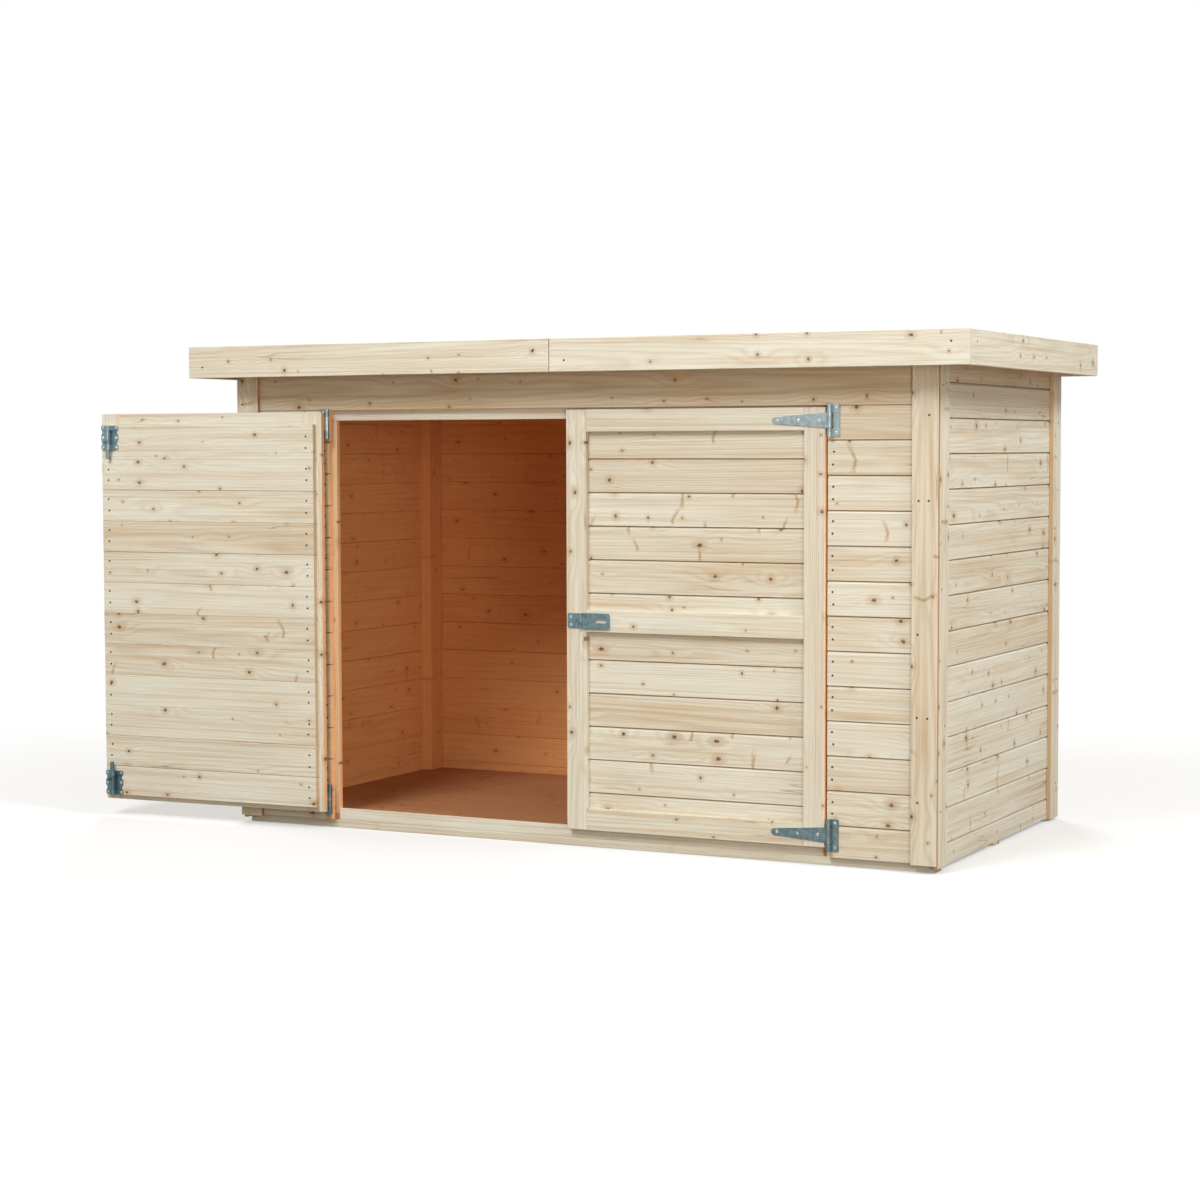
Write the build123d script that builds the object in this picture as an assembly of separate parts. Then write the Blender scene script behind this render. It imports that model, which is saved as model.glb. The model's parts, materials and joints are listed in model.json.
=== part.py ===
from build123d import *
import os

# Wooden bike shed with a flat boxed roof, a plank floor and a pair of framed doors.
# Millimetres. +X runs along the front to the right, +Y from the front to the back, +Z up.
# The origin is on the ground, in the middle of the floor bearers.
# The left leaf stands open, the right leaf is closed, the hasp is folded back and the bolts are drawn.

# Walls
FRONT_PANEL_WIDTH = 286.0
WALL_DEPTH = 1047.0
BOARD_THICK = 18.0
FRONT_BOARDS_BOTTOM = 24.0
SIDE_BOARDS_BOTTOM = 10.0

# Floor
BEARER_HEIGHT = 22.0
BEARER_WIDTH = 45.0
FLOOR_THICK = 18.0

# Corner posts and door posts
POST_WIDTH = 45.0
POST_DEPTH = 28.0
REAR_POST_THICK = 34.0
REAR_POST_WIDTH = 75.0

# Corner trims
TRIM_THICK = 13.0
FRONT_TRIM_WIDTH = 70.0
SIDE_TRIM_WIDTH = 73.0
FRONT_TRIM_BOTTOM = 21.0
SIDE_TRIM_BOTTOM = 13.0
REAR_TRIM_BOTTOM = 6.0

# Doorway and its stops
DOORWAY_WIDTH = 1496.0
TOP_BOARD_SHOWN = 93.0
SIDE_STOP = 15.0
HEAD_STOP = 29.0
STOP_THICK = 16.0
SILL_LIP = 14.0

# Door leaves
DOOR_GAP = 5.0
LEAF_GAP = 5.0
STOP_GAP = 5.0
SILL_LAP = 6.0
FRAME_THICK = 16.0
STILE_WIDTH = 59.0
RAIL_WIDTH = 59.0
DOOR_BOARD_THICK = 16.0
BOARDS_SIDE_GAP = 8.0
BOARDS_FREE_GAP = 10.0
BOARDS_TOP_GAP = 10.0
BOARDS_BOTTOM_GAP = 9.0
OPEN_ANGLE = 178.0

# Roof
ROOF_TOP = 1359.0
FASCIA_HEIGHT = 88.0
FASCIA_THICK = 18.0
FRONT_OVERHANG = 97.0
SIDE_OVERHANG = 118.0
FASCIA_UPSTAND = 6.0
ROOF_FALL = 30.0
ROOF_DECK_THICK = 16.0
FELT_THICK = 3.0
RAFTER_WIDTH = 45.0
RAFTER_HEIGHT = 45.0
INNER_RAFTER_SHARE = 1 / 3

# Hinges: a plate on the wall, a tapered strap on the leaf and a pin through their knuckles
HINGE_INSET = 33.0
RIGHT_HINGE_SHIFT = 8.0
HINGE_METAL = 3.0
PLATE_WIDTH = 25.0
PLATE_HEIGHT = 83.0
PLATE_CORNER = 3.0
STRAP_LENGTH = 159.0
STRAP_ROOT_HEIGHT = 41.0
STRAP_TIP_HEIGHT = 17.0
KNUCKLE_RADIUS = 6.5
PIN_RADIUS = 3.5
PIN_CLEARANCE = 0.3
KNUCKLE_GAP = 0.5

# Hasp and staple
HASP_METAL = 2.5
HASP_EDGE_GAP = 4.5
HASP_LEAF_LENGTH = 35.0
HASP_LEAF_HEIGHT = 40.0
HASP_CORNER = 5.0
HASP_KNUCKLE_RADIUS = 4.0
HASP_PIN_RADIUS = 2.0
HASP_STANDOFF = 4.5
HASP_MIDDLE_KNUCKLE = 19.0
FLAP_LENGTH = 86.0
FLAP_HEIGHT = 42.0
SLOT_LENGTH = 36.0
SLOT_HEIGHT = 10.0
SLOT_END_MARGIN = 7.0
STAPLE_ROD_RADIUS = 3.0
STAPLE_ROD_SIDES = 16
STAPLE_SPACING = 16.0
STAPLE_REACH = 22.0
STAPLE_CLEARANCE = 5.0

# Barrel bolts on the inner face of the left leaf
BOLT_PLATE_WIDTH = 59.0
BOLT_PLATE_HEIGHT = 70.0
BOLT_PLATE_THICK = 2.0
BOLT_PLATE_CORNER = 4.0
EAR_NOTCH_RADIUS = 8.0
EAR_NOTCH_DEPTH = 5.0
EAR_NOTCH_SHARE = 0.22
BOLT_RADIUS = 5.5
BOLT_LENGTH = 94.0
BOLT_STOP_CLEARANCE = 2.0
BOLT_DRAWN_GAP = 12.0
BOLT_CLEARANCE = 0.4
BRIDGE_HEIGHT = 14.0
BRIDGE_WALL = 3.0
BRIDGE_FOOT_WIDTH = 38.0
BRIDGE_FOOT_THICK = 2.5
KNOB_RADIUS = 4.0
KNOB_REACH = 18.0
KNOB_CLEARANCE = 5.0

# How far a cutting shape runs past what it cuts
OVERRUN = 2.0

# Places worked out from the sizes above
HALF_DOORWAY = DOORWAY_WIDTH / 2
HALF_WIDTH = HALF_DOORWAY + FRONT_PANEL_WIDTH
FRONT = -WALL_DEPTH / 2
REAR = WALL_DEPTH / 2
FRONT_INSIDE = FRONT + BOARD_THICK
REAR_INSIDE = REAR - BOARD_THICK
SIDE_INSIDE = HALF_WIDTH - BOARD_THICK
TRIM_OUTSIDE = HALF_WIDTH + TRIM_THICK
FLOOR_TOP = BEARER_HEIGHT + FLOOR_THICK

FASCIA_BOTTOM = ROOF_TOP - FASCIA_HEIGHT
FASCIA_OUTSIDE = HALF_WIDTH + SIDE_OVERHANG
FASCIA_INSIDE = FASCIA_OUTSIDE - FASCIA_THICK
FASCIA_FRONT = FRONT - FRONT_OVERHANG
ROOF_FRONT = FASCIA_FRONT + FASCIA_THICK
ROOF_REAR = REAR + TRIM_THICK
DECK_FRONT_UNDERSIDE = ROOF_TOP - FASCIA_UPSTAND - FELT_THICK - ROOF_DECK_THICK

DOORWAY_TOP = FASCIA_BOTTOM - TOP_BOARD_SHOWN
HEAD_BOTTOM = DOORWAY_TOP - HEAD_STOP
SILL_TOP = FLOOR_TOP + SILL_LIP
STOP_INSIDE = HALF_DOORWAY - SIDE_STOP
STOP_BACK = FRONT_INSIDE + STOP_THICK

DOOR_TOP = DOORWAY_TOP - DOOR_GAP
DOOR_BOTTOM = SILL_TOP - SILL_LAP
FRAME_BACK = FRONT_INSIDE - STOP_GAP
FRAME_FACE = FRAME_BACK - FRAME_THICK
DOOR_BACK = FRAME_BACK + DOOR_BOARD_THICK
HINGE_EDGE = HALF_DOORWAY - DOOR_GAP
FREE_EDGE = LEAF_GAP / 2
MIDDLE_RAIL = (DOOR_BOTTOM + DOOR_TOP) / 2
BOARDS_EDGE = STOP_INSIDE - BOARDS_SIDE_GAP
BOARDS_TOP = HEAD_BOTTOM - BOARDS_TOP_GAP
BOARDS_BOTTOM = SILL_TOP + BOARDS_BOTTOM_GAP

LEFT_PIN_X = HALF_DOORWAY
RIGHT_PIN_X = HALF_DOORWAY + RIGHT_HINGE_SHIFT
PIN_Y = min(FRONT, FRAME_FACE) - KNUCKLE_RADIUS + KNUCKLE_GAP
HASP_PIN_X = FREE_EDGE + HASP_EDGE_GAP + HASP_LEAF_LENGTH + HASP_KNUCKLE_RADIUS
HASP_PIN_Y = FRAME_FACE - HASP_STANDOFF
BOARDS_FREE_EDGE = FREE_EDGE + BOARDS_FREE_GAP
BOLT_X = -BOARDS_FREE_EDGE - BOLT_PLATE_WIDTH / 2
BOLT_Y = STOP_BACK + BOLT_STOP_CLEARANCE + BOLT_RADIUS


def block(x_range, y_range, z_range):
    """A square timber between two places along each axis."""
    low = Vector(x_range[0], y_range[0], z_range[0])
    high = Vector(x_range[1], y_range[1], z_range[1])
    size = high - low
    centre = (low + high) / 2
    return Pos(centre.X, centre.Y, centre.Z) * Box(size.X, size.Y, size.Z)


def upright(x, y, z_range, radius):
    """A round upright bar."""
    height = z_range[1] - z_range[0]
    return Pos(x, y, (z_range[0] + z_range[1]) / 2) * Cylinder(radius, height)


def front_plane(y):
    """A drawing plane that faces the front: its X is the shed's X and its Y is up."""
    return Plane(origin=(0, y, 0), x_dir=(1, 0, 0), z_dir=(0, -1, 0))


def plate(y_back, thick, outline):
    """A flat sheet with its back at a depth, extruded towards the front."""
    return extrude(front_plane(y_back) * outline, amount=thick)


def mirrored(part):
    """The same part on the other side of the shed."""
    return mirror(part, about=Plane.YZ)


def both_sides(part):
    return [part, mirrored(part)]


def deck_underside(y):
    """Height of the underside of the roof boards, which fall to the back."""
    return DECK_FRONT_UNDERSIDE - ROOF_FALL * (y - ROOF_FRONT) / (ROOF_REAR - ROOF_FRONT)


def slanted(x_range, y_range, drop, thick):
    """A slab that follows the fall of the roof, its top a set drop below the underside of the boards."""
    y_front, y_back = y_range
    top_front = deck_underside(y_front) - drop
    top_back = deck_underside(y_back) - drop
    outline = [
        (y_front, top_front - thick),
        (y_back, top_back - thick),
        (y_back, top_back),
        (y_front, top_front),
    ]
    side = Plane(origin=(x_range[0], 0, 0), x_dir=(0, 1, 0), z_dir=(1, 0, 0))
    return extrude(side * make_face(Polyline(*outline, close=True)), amount=x_range[1] - x_range[0])


def bearer(y_front):
    """A bearer under the floor, with notched ends that the side boards stand on."""
    y_range = (y_front, y_front + BEARER_WIDTH)
    bar = block((-SIDE_INSIDE, SIDE_INSIDE), y_range, (0, BEARER_HEIGHT))
    return bar + block((-HALF_WIDTH, HALF_WIDTH), y_range, (0, SIDE_BOARDS_BOTTOM))


def floor_deck():
    """The plank floor inside the walls, set back behind the door sill."""
    deck = block((-SIDE_INSIDE, SIDE_INSIDE), (FRONT_INSIDE, REAR_INSIDE), (BEARER_HEIGHT, FLOOR_TOP))
    sill_recess = block(
        (-STOP_INSIDE, STOP_INSIDE),
        (FRONT_INSIDE - OVERRUN, STOP_BACK),
        (BEARER_HEIGHT - OVERRUN, FLOOR_TOP + OVERRUN),
    )
    return deck - sill_recess


def front_panel_right():
    """The boarded front beside the doorway."""
    return block((HALF_DOORWAY, HALF_WIDTH), (FRONT, FRONT_INSIDE), (FRONT_BOARDS_BOTTOM, DOORWAY_TOP))


def rafter_places():
    outer = SIDE_INSIDE - RAFTER_WIDTH / 2
    inner = INNER_RAFTER_SHARE * outer
    return (-outer, -inner, inner, outer)


def rafter(x, y_range):
    return slanted((x - RAFTER_WIDTH / 2, x + RAFTER_WIDTH / 2), y_range, 0, RAFTER_HEIGHT)


def front_top_board():
    """The board over the doors, right across the front, notched over the rafters."""
    top = deck_underside(FRONT_INSIDE)
    board = block((-HALF_WIDTH, HALF_WIDTH), (FRONT, FRONT_INSIDE), (DOORWAY_TOP, top))
    for x in rafter_places():
        board -= rafter(x, (ROOF_FRONT, REAR_INSIDE))
    return board


def side_panel_right():
    """A boarded side that reaches up to the sloping roof boards."""
    whole = slanted((SIDE_INSIDE, HALF_WIDTH), (FRONT_INSIDE, REAR_INSIDE), 0, ROOF_TOP)
    below = block(
        (SIDE_INSIDE - OVERRUN, HALF_WIDTH + OVERRUN),
        (FRONT_INSIDE - OVERRUN, REAR_INSIDE + OVERRUN),
        (-ROOF_TOP, SIDE_BOARDS_BOTTOM),
    )
    return whole - below


def rear_panel():
    return block((-HALF_WIDTH, HALF_WIDTH), (REAR_INSIDE, REAR), (SIDE_BOARDS_BOTTOM, deck_underside(REAR)))


def corner_posts():
    """Four posts inside the corners, under the outer rafters. The rear ones lie flat on the side boards."""
    front_range = (SIDE_INSIDE - POST_WIDTH, SIDE_INSIDE)
    rear_range = (SIDE_INSIDE - REAR_POST_THICK, SIDE_INSIDE)
    front_back = FRONT_INSIDE + POST_DEPTH
    front_top = deck_underside(front_back) - RAFTER_HEIGHT
    rear_top = deck_underside(REAR_INSIDE) - RAFTER_HEIGHT
    front = block(front_range, (FRONT_INSIDE, front_back), (FLOOR_TOP, front_top))
    rear = block(rear_range, (REAR_INSIDE - REAR_POST_WIDTH, REAR_INSIDE), (FLOOR_TOP, rear_top))
    return both_sides(front) + both_sides(rear)


def door_posts():
    """A post behind each end of the boards, wide enough to stop the leaf."""
    post = block(
        (STOP_INSIDE, STOP_INSIDE + POST_WIDTH),
        (FRONT_INSIDE, STOP_BACK),
        (FLOOR_TOP, HEAD_BOTTOM),
    )
    return both_sides(post)


def door_head():
    """The board behind the top board, which stops the tops of the leaves."""
    half = STOP_INSIDE + POST_WIDTH
    top = deck_underside(STOP_BACK) - RAFTER_HEIGHT
    return block((-half, half), (FRONT_INSIDE, STOP_BACK), (HEAD_BOTTOM, top))


def door_sill():
    return block((-STOP_INSIDE, STOP_INSIDE), (FRONT_INSIDE, STOP_BACK), (BEARER_HEIGHT, SILL_TOP))


def front_trims():
    """A board on each front corner that laps the edge of the side trim."""
    x_range = (TRIM_OUTSIDE - FRONT_TRIM_WIDTH, TRIM_OUTSIDE)
    top = deck_underside(FRONT) - RAFTER_HEIGHT
    return both_sides(block(x_range, (FRONT - TRIM_THICK, FRONT), (FRONT_TRIM_BOTTOM, top)))


def side_trims_right():
    """The two upright trims on one side wall, at its front and back corners."""
    x_range = (HALF_WIDTH, TRIM_OUTSIDE)
    front_end = FRONT + SIDE_TRIM_WIDTH
    rear_start = ROOF_REAR - SIDE_TRIM_WIDTH
    front = block(x_range, (FRONT, front_end), (SIDE_TRIM_BOTTOM, deck_underside(front_end)))
    rear = block(x_range, (rear_start, ROOF_REAR), (REAR_TRIM_BOTTOM, deck_underside(ROOF_REAR)))
    return [front, rear]


def rear_trims():
    x_range = (HALF_WIDTH - FRONT_TRIM_WIDTH, HALF_WIDTH)
    return both_sides(block(x_range, (REAR, ROOF_REAR), (REAR_TRIM_BOTTOM, FASCIA_BOTTOM)))


def rafters():
    return [rafter(x, (ROOF_FRONT, REAR_INSIDE)) for x in rafter_places()]


def roof_deck():
    """Roof boards, laid to fall to the back inside the fascia."""
    drop = -ROOF_DECK_THICK
    return slanted((-FASCIA_INSIDE, FASCIA_INSIDE), (ROOF_FRONT, ROOF_REAR), drop, ROOF_DECK_THICK)


def roof_felt():
    drop = -ROOF_DECK_THICK - FELT_THICK
    return slanted((-FASCIA_INSIDE, FASCIA_INSIDE), (ROOF_FRONT, ROOF_REAR), drop, FELT_THICK)


def fascia_front_right():
    """Half of the front fascia, which is joined in the middle and laps the side fascias."""
    return block((0, FASCIA_OUTSIDE), (FASCIA_FRONT, ROOF_FRONT), (FASCIA_BOTTOM, ROOF_TOP))


def fascia_right():
    return block((FASCIA_INSIDE, FASCIA_OUTSIDE), (ROOF_FRONT, ROOF_REAR), (FASCIA_BOTTOM, ROOF_TOP))


def fascia_rear():
    """A low board under the rear edge of the roof, where water runs off, cut where the side trims pass."""
    y_range = (REAR, ROOF_REAR)
    z_range = (FASCIA_BOTTOM, deck_underside(ROOF_REAR))
    middle = block((-HALF_WIDTH, HALF_WIDTH), y_range, z_range)
    return [middle] + both_sides(block((TRIM_OUTSIDE, FASCIA_INSIDE), y_range, z_range))


def door_stiles():
    """The two uprights of the right leaf's frame."""
    y_range = (FRAME_FACE, FRAME_BACK)
    z_range = (DOOR_BOTTOM, DOOR_TOP)
    free = block((FREE_EDGE, FREE_EDGE + STILE_WIDTH), y_range, z_range)
    hinged = block((HINGE_EDGE - STILE_WIDTH, HINGE_EDGE), y_range, z_range)
    return [free, hinged]


def door_rails():
    """The three rails between the stiles."""
    x_range = (FREE_EDGE + STILE_WIDTH, HINGE_EDGE - STILE_WIDTH)
    y_range = (FRAME_FACE, FRAME_BACK)
    half = RAIL_WIDTH / 2
    heights = (DOOR_BOTTOM + half, MIDDLE_RAIL, DOOR_TOP - half)
    return [block(x_range, y_range, (z - half, z + half)) for z in heights]


def door_boards():
    """The boards behind the frame, held short of its free edge and of the stops of the doorway."""
    return block(
        (BOARDS_FREE_EDGE, BOARDS_EDGE),
        (FRAME_BACK, DOOR_BACK),
        (BOARDS_BOTTOM, BOARDS_TOP),
    )


def hinge_heights():
    return (DOOR_BOTTOM + HINGE_INSET, DOOR_TOP - HINGE_INSET)


def hinge_plate(pin_x, z):
    """The wall half of a hinge: a plate, the two outer knuckles and the pin."""
    outline = Pos(pin_x + PLATE_WIDTH / 2, z) * Rectangle(PLATE_WIDTH, PLATE_HEIGHT)
    sheet = plate(FRONT, HINGE_METAL, outline)
    outer_corners = sheet.edges().filter_by(Axis.Y).group_by(Axis.X)[-1]
    part = fillet(outer_corners, PLATE_CORNER)
    half_plate = PLATE_HEIGHT / 2
    half_strap = STRAP_ROOT_HEIGHT / 2 + KNUCKLE_GAP
    for low, high in ((-half_plate, -half_strap), (half_strap, half_plate)):
        part += upright(pin_x, PIN_Y, (z + low, z + high), KNUCKLE_RADIUS)
        web = ((pin_x, pin_x + KNUCKLE_RADIUS), (PIN_Y, FRONT), (z + low, z + high))
        part += block(*web)
    part -= block(
        (pin_x - OVERRUN, pin_x + KNUCKLE_RADIUS + KNUCKLE_GAP),
        (PIN_Y, FRONT + OVERRUN),
        (z - half_strap, z + half_strap),
    )
    return part + upright(pin_x, PIN_Y, (z - half_plate, z + half_plate), PIN_RADIUS)


def hinge_strap(pin_x, z):
    """The leaf half of a hinge: a tapered strap with a round tip and the middle knuckle."""
    half_root = STRAP_ROOT_HEIGHT / 2
    tip_radius = STRAP_TIP_HEIGHT / 2
    tip_x = pin_x - STRAP_LENGTH + tip_radius
    taper = Polyline(
        (pin_x, z - half_root),
        (pin_x, z + half_root),
        (tip_x, z + tip_radius),
        (tip_x, z - tip_radius),
        close=True,
    )
    outline = make_face(taper) + Pos(tip_x, z) * Circle(tip_radius)
    strap = plate(FRAME_FACE, HINGE_METAL, outline)
    strap += upright(pin_x, PIN_Y, (z - half_root, z + half_root), KNUCKLE_RADIUS)
    bore = (z - half_root - OVERRUN, z + half_root + OVERRUN)
    return strap - upright(pin_x, PIN_Y, bore, PIN_RADIUS + PIN_CLEARANCE)


def hasp_leaf():
    """The fixed half of the hasp on the right leaf, with two knuckles and their pin."""
    z = MIDDLE_RAIL
    left = FREE_EDGE + HASP_EDGE_GAP
    outline = Pos(left + HASP_LEAF_LENGTH / 2, z) * Rectangle(HASP_LEAF_LENGTH, HASP_LEAF_HEIGHT)
    sheet = plate(FRAME_FACE, HASP_METAL, outline)
    part = fillet(sheet.edges().filter_by(Axis.Y).group_by(Axis.X)[0], HASP_CORNER)
    half_leaf = HASP_LEAF_HEIGHT / 2
    half_middle = HASP_MIDDLE_KNUCKLE / 2 + KNUCKLE_GAP
    for low, high in ((-half_leaf, -half_middle), (half_middle, half_leaf)):
        span = (z + low, z + high)
        part += upright(HASP_PIN_X, HASP_PIN_Y, span, HASP_KNUCKLE_RADIUS)
        part += block((left + HASP_LEAF_LENGTH, HASP_PIN_X), (FRAME_FACE - HASP_METAL, FRAME_FACE), span)
    return part + upright(HASP_PIN_X, HASP_PIN_Y, (z - half_leaf, z + half_leaf), HASP_PIN_RADIUS)


def hasp_flap():
    """The swinging half of the hasp, folded back: a slotted plate and the middle knuckle."""
    z = MIDDLE_RAIL
    half_middle = HASP_MIDDLE_KNUCKLE / 2
    root = HASP_PIN_X + HASP_KNUCKLE_RADIUS + KNUCKLE_GAP
    end = HASP_PIN_X + FLAP_LENGTH
    y_back = HASP_PIN_Y + HASP_METAL / 2
    outline = Pos((root + end) / 2, z) * Rectangle(end - root, FLAP_HEIGHT)
    sheet = plate(y_back, HASP_METAL, outline)
    part = fillet(sheet.edges().filter_by(Axis.Y), HASP_CORNER)
    slot_centre = end - SLOT_END_MARGIN - SLOT_LENGTH / 2
    slot = Pos(slot_centre, z) * SlotOverall(SLOT_LENGTH, SLOT_HEIGHT)
    part -= plate(y_back + OVERRUN, OVERRUN + HASP_METAL + OVERRUN, slot)
    span = (z - half_middle, z + half_middle)
    part += block((HASP_PIN_X, root + HASP_CORNER), (y_back - HASP_METAL, y_back), span)
    part += upright(HASP_PIN_X, HASP_PIN_Y, span, HASP_KNUCKLE_RADIUS)
    bore = (z - half_middle - OVERRUN, z + half_middle + OVERRUN)
    return part - upright(HASP_PIN_X, HASP_PIN_Y, bore, HASP_PIN_RADIUS + PIN_CLEARANCE)


def hasp_staple():
    """A bent rod on the left leaf, which stands in the slot of the closed hasp."""
    flap_end = HASP_PIN_X - FLAP_LENGTH
    left_leg = flap_end + SLOT_END_MARGIN + STAPLE_CLEARANCE + STAPLE_ROD_RADIUS
    right_leg = left_leg + STAPLE_SPACING
    level = Plane(origin=(0, 0, MIDDLE_RAIL))
    bend = STAPLE_SPACING / 2
    shoulder = FRAME_FACE - STAPLE_REACH + bend + STAPLE_ROD_RADIUS
    out = level * Line((left_leg, FRAME_FACE), (left_leg, shoulder))
    crown = (left_leg + bend, shoulder - bend)
    arc = level * ThreePointArc((left_leg, shoulder), crown, (right_leg, shoulder))
    back = level * Line((right_leg, shoulder), (right_leg, FRAME_FACE))
    foot = Plane(origin=(left_leg, FRAME_FACE, MIDDLE_RAIL), z_dir=(0, -1, 0))
    section = foot * RegularPolygon(STAPLE_ROD_RADIUS, STAPLE_ROD_SIDES)
    return sweep(section, path=Wire([out.edge(), arc.edge(), back.edge()]))


def ear_notches(middle):
    """Round notches in both sides of a bolt's plate, which leave three pairs of ears."""
    reach = BOLT_PLATE_WIDTH / 2 - EAR_NOTCH_DEPTH + EAR_NOTCH_RADIUS
    offset = EAR_NOTCH_SHARE * BOLT_PLATE_HEIGHT
    thick = BOLT_PLATE_THICK + 2 * OVERRUN
    cutter = Rot(90, 0, 0) * Cylinder(EAR_NOTCH_RADIUS, thick)
    places = [(x, z) for x in (BOLT_X - reach, BOLT_X + reach) for z in (middle - offset, middle + offset)]
    return [Pos(x, DOOR_BACK + BOLT_PLATE_THICK / 2, z) * cutter for x, z in places]


def bolt_housing(plate_bottom):
    """A plate on the inner face of the left leaf with two bridges that hold the bolt."""
    middle = plate_bottom + BOLT_PLATE_HEIGHT / 2
    sheet = block(
        (BOLT_X - BOLT_PLATE_WIDTH / 2, BOLT_X + BOLT_PLATE_WIDTH / 2),
        (DOOR_BACK, DOOR_BACK + BOLT_PLATE_THICK),
        (plate_bottom, plate_bottom + BOLT_PLATE_HEIGHT),
    )
    part = fillet(sheet.edges().filter_by(Axis.Y), BOLT_PLATE_CORNER) - ear_notches(middle)
    outer_radius = BOLT_RADIUS + BOLT_CLEARANCE + BRIDGE_WALL
    offset = (BOLT_PLATE_HEIGHT - BRIDGE_HEIGHT) / 2
    for z in (middle - offset, middle + offset):
        span = (z - BRIDGE_HEIGHT / 2, z + BRIDGE_HEIGHT / 2)
        part += upright(BOLT_X, BOLT_Y, span, outer_radius)
        part += block((BOLT_X - outer_radius, BOLT_X + outer_radius), (DOOR_BACK, BOLT_Y), span)
        part += block(
            (BOLT_X - BRIDGE_FOOT_WIDTH / 2, BOLT_X + BRIDGE_FOOT_WIDTH / 2),
            (DOOR_BACK, DOOR_BACK + BOLT_PLATE_THICK + BRIDGE_FOOT_THICK),
            span,
        )
    bore = (plate_bottom - OVERRUN, plate_bottom + BOLT_PLATE_HEIGHT + OVERRUN)
    return part - upright(BOLT_X, BOLT_Y, bore, BOLT_RADIUS + BOLT_CLEARANCE)


def bolt_rod(low, knob_z):
    """A sliding round bolt with a knob that points into the shed."""
    rod = upright(BOLT_X, BOLT_Y, (low, low + BOLT_LENGTH), BOLT_RADIUS)
    end_edges = rod.edges().filter_by(GeomType.CIRCLE)
    rod = chamfer(end_edges, BOLT_RADIUS - KNOB_RADIUS)
    knob = Pos(BOLT_X, BOLT_Y, knob_z) * Rot(-90, 0, 0) * Cylinder(
        KNOB_RADIUS, BOLT_RADIUS + KNOB_REACH, align=(Align.CENTER, Align.CENTER, Align.MIN)
    )
    return rod + knob


def knob_inset():
    """Distance of the drawn bolt's knob from the end of its plate that is away from the doorway's stop."""
    return BRIDGE_HEIGHT + KNOB_CLEARANCE + KNOB_RADIUS


def opened(part):
    """Swings a piece of the left leaf from its closed place to its place in the open leaf."""
    pin = Pos(-LEFT_PIN_X, PIN_Y, 0)
    return pin * Rot(0, 0, -OPEN_ANGLE) * pin.inverse() * part


def save(name, solids):
    """Writes one named piece, which may be several solids that do not touch."""
    parts = solids if isinstance(solids, list) else [solids]
    bodies = [solid for part in parts for solid in part.solids()]
    shape = bodies[0] if len(bodies) == 1 else Compound(children=bodies)
    shape.label = name
    export_step(shape, os.path.join("parts", name + ".step"))


def base_pieces():
    return {
        "bearer_front": bearer(FRONT_INSIDE),
        "bearer_middle": bearer(-BEARER_WIDTH / 2),
        "bearer_rear": bearer(REAR_INSIDE - BEARER_WIDTH),
        "floor_deck": floor_deck(),
    }


def wall_pieces():
    return {
        "front_panel_left": mirrored(front_panel_right()),
        "front_panel_right": front_panel_right(),
        "front_top_board": front_top_board(),
        "side_panel_left": mirrored(side_panel_right()),
        "side_panel_right": side_panel_right(),
        "rear_panel": rear_panel(),
        "corner_posts": corner_posts(),
        "door_posts": door_posts(),
        "door_head": door_head(),
        "door_sill": door_sill(),
        "front_trims": front_trims(),
        "side_trims_left": [mirrored(trim) for trim in side_trims_right()],
        "side_trims_right": side_trims_right(),
        "rear_trims": rear_trims(),
    }


def roof_pieces():
    return {
        "roof_rafters": rafters(),
        "roof_deck": roof_deck(),
        "roof_felt": roof_felt(),
        "fascia_front_left": mirrored(fascia_front_right()),
        "fascia_front_right": fascia_front_right(),
        "fascia_left": mirrored(fascia_right()),
        "fascia_right": fascia_right(),
        "fascia_rear": fascia_rear(),
    }


def right_leaf_pieces():
    return {
        "right_hinge_plates": [hinge_plate(RIGHT_PIN_X, z) for z in hinge_heights()],
        "right_door_stiles": door_stiles(),
        "right_door_rails": door_rails(),
        "right_door_boards": door_boards(),
        "right_hinge_straps": [hinge_strap(RIGHT_PIN_X, z) for z in hinge_heights()],
        "hasp_leaf": hasp_leaf(),
        "hasp_flap": hasp_flap(),
    }


def left_leaf_pieces():
    upper_plate_bottom = BOARDS_TOP - BOLT_PLATE_HEIGHT
    lower_plate_top = BOARDS_BOTTOM + BOLT_PLATE_HEIGHT
    upper_rod_bottom = HEAD_BOTTOM - BOLT_DRAWN_GAP - BOLT_LENGTH
    lower_rod_bottom = SILL_TOP + BOLT_DRAWN_GAP
    closed = {
        "left_door_stiles": [mirrored(stile) for stile in door_stiles()],
        "left_door_rails": [mirrored(rail) for rail in door_rails()],
        "left_door_boards": [mirrored(door_boards())],
        "left_hinge_straps": [mirrored(hinge_strap(LEFT_PIN_X, z)) for z in hinge_heights()],
        "hasp_staple": [hasp_staple()],
        "bolt_housings": [bolt_housing(upper_plate_bottom), bolt_housing(BOARDS_BOTTOM)],
        "upper_bolt": [bolt_rod(upper_rod_bottom, upper_plate_bottom + knob_inset())],
        "lower_bolt": [bolt_rod(lower_rod_bottom, lower_plate_top - knob_inset())],
    }
    pieces = {name: [opened(part) for part in parts] for name, parts in closed.items()}
    pieces["left_hinge_plates"] = [mirrored(hinge_plate(LEFT_PIN_X, z)) for z in hinge_heights()]
    return pieces


os.makedirs("parts", exist_ok=True)
for group in (base_pieces(), wall_pieces(), roof_pieces(), right_leaf_pieces(), left_leaf_pieces()):
    for piece_name, piece in group.items():
        save(piece_name, piece)
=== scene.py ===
import json
import math
import random

import bmesh
import bpy
from mathutils import Matrix, Vector


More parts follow.
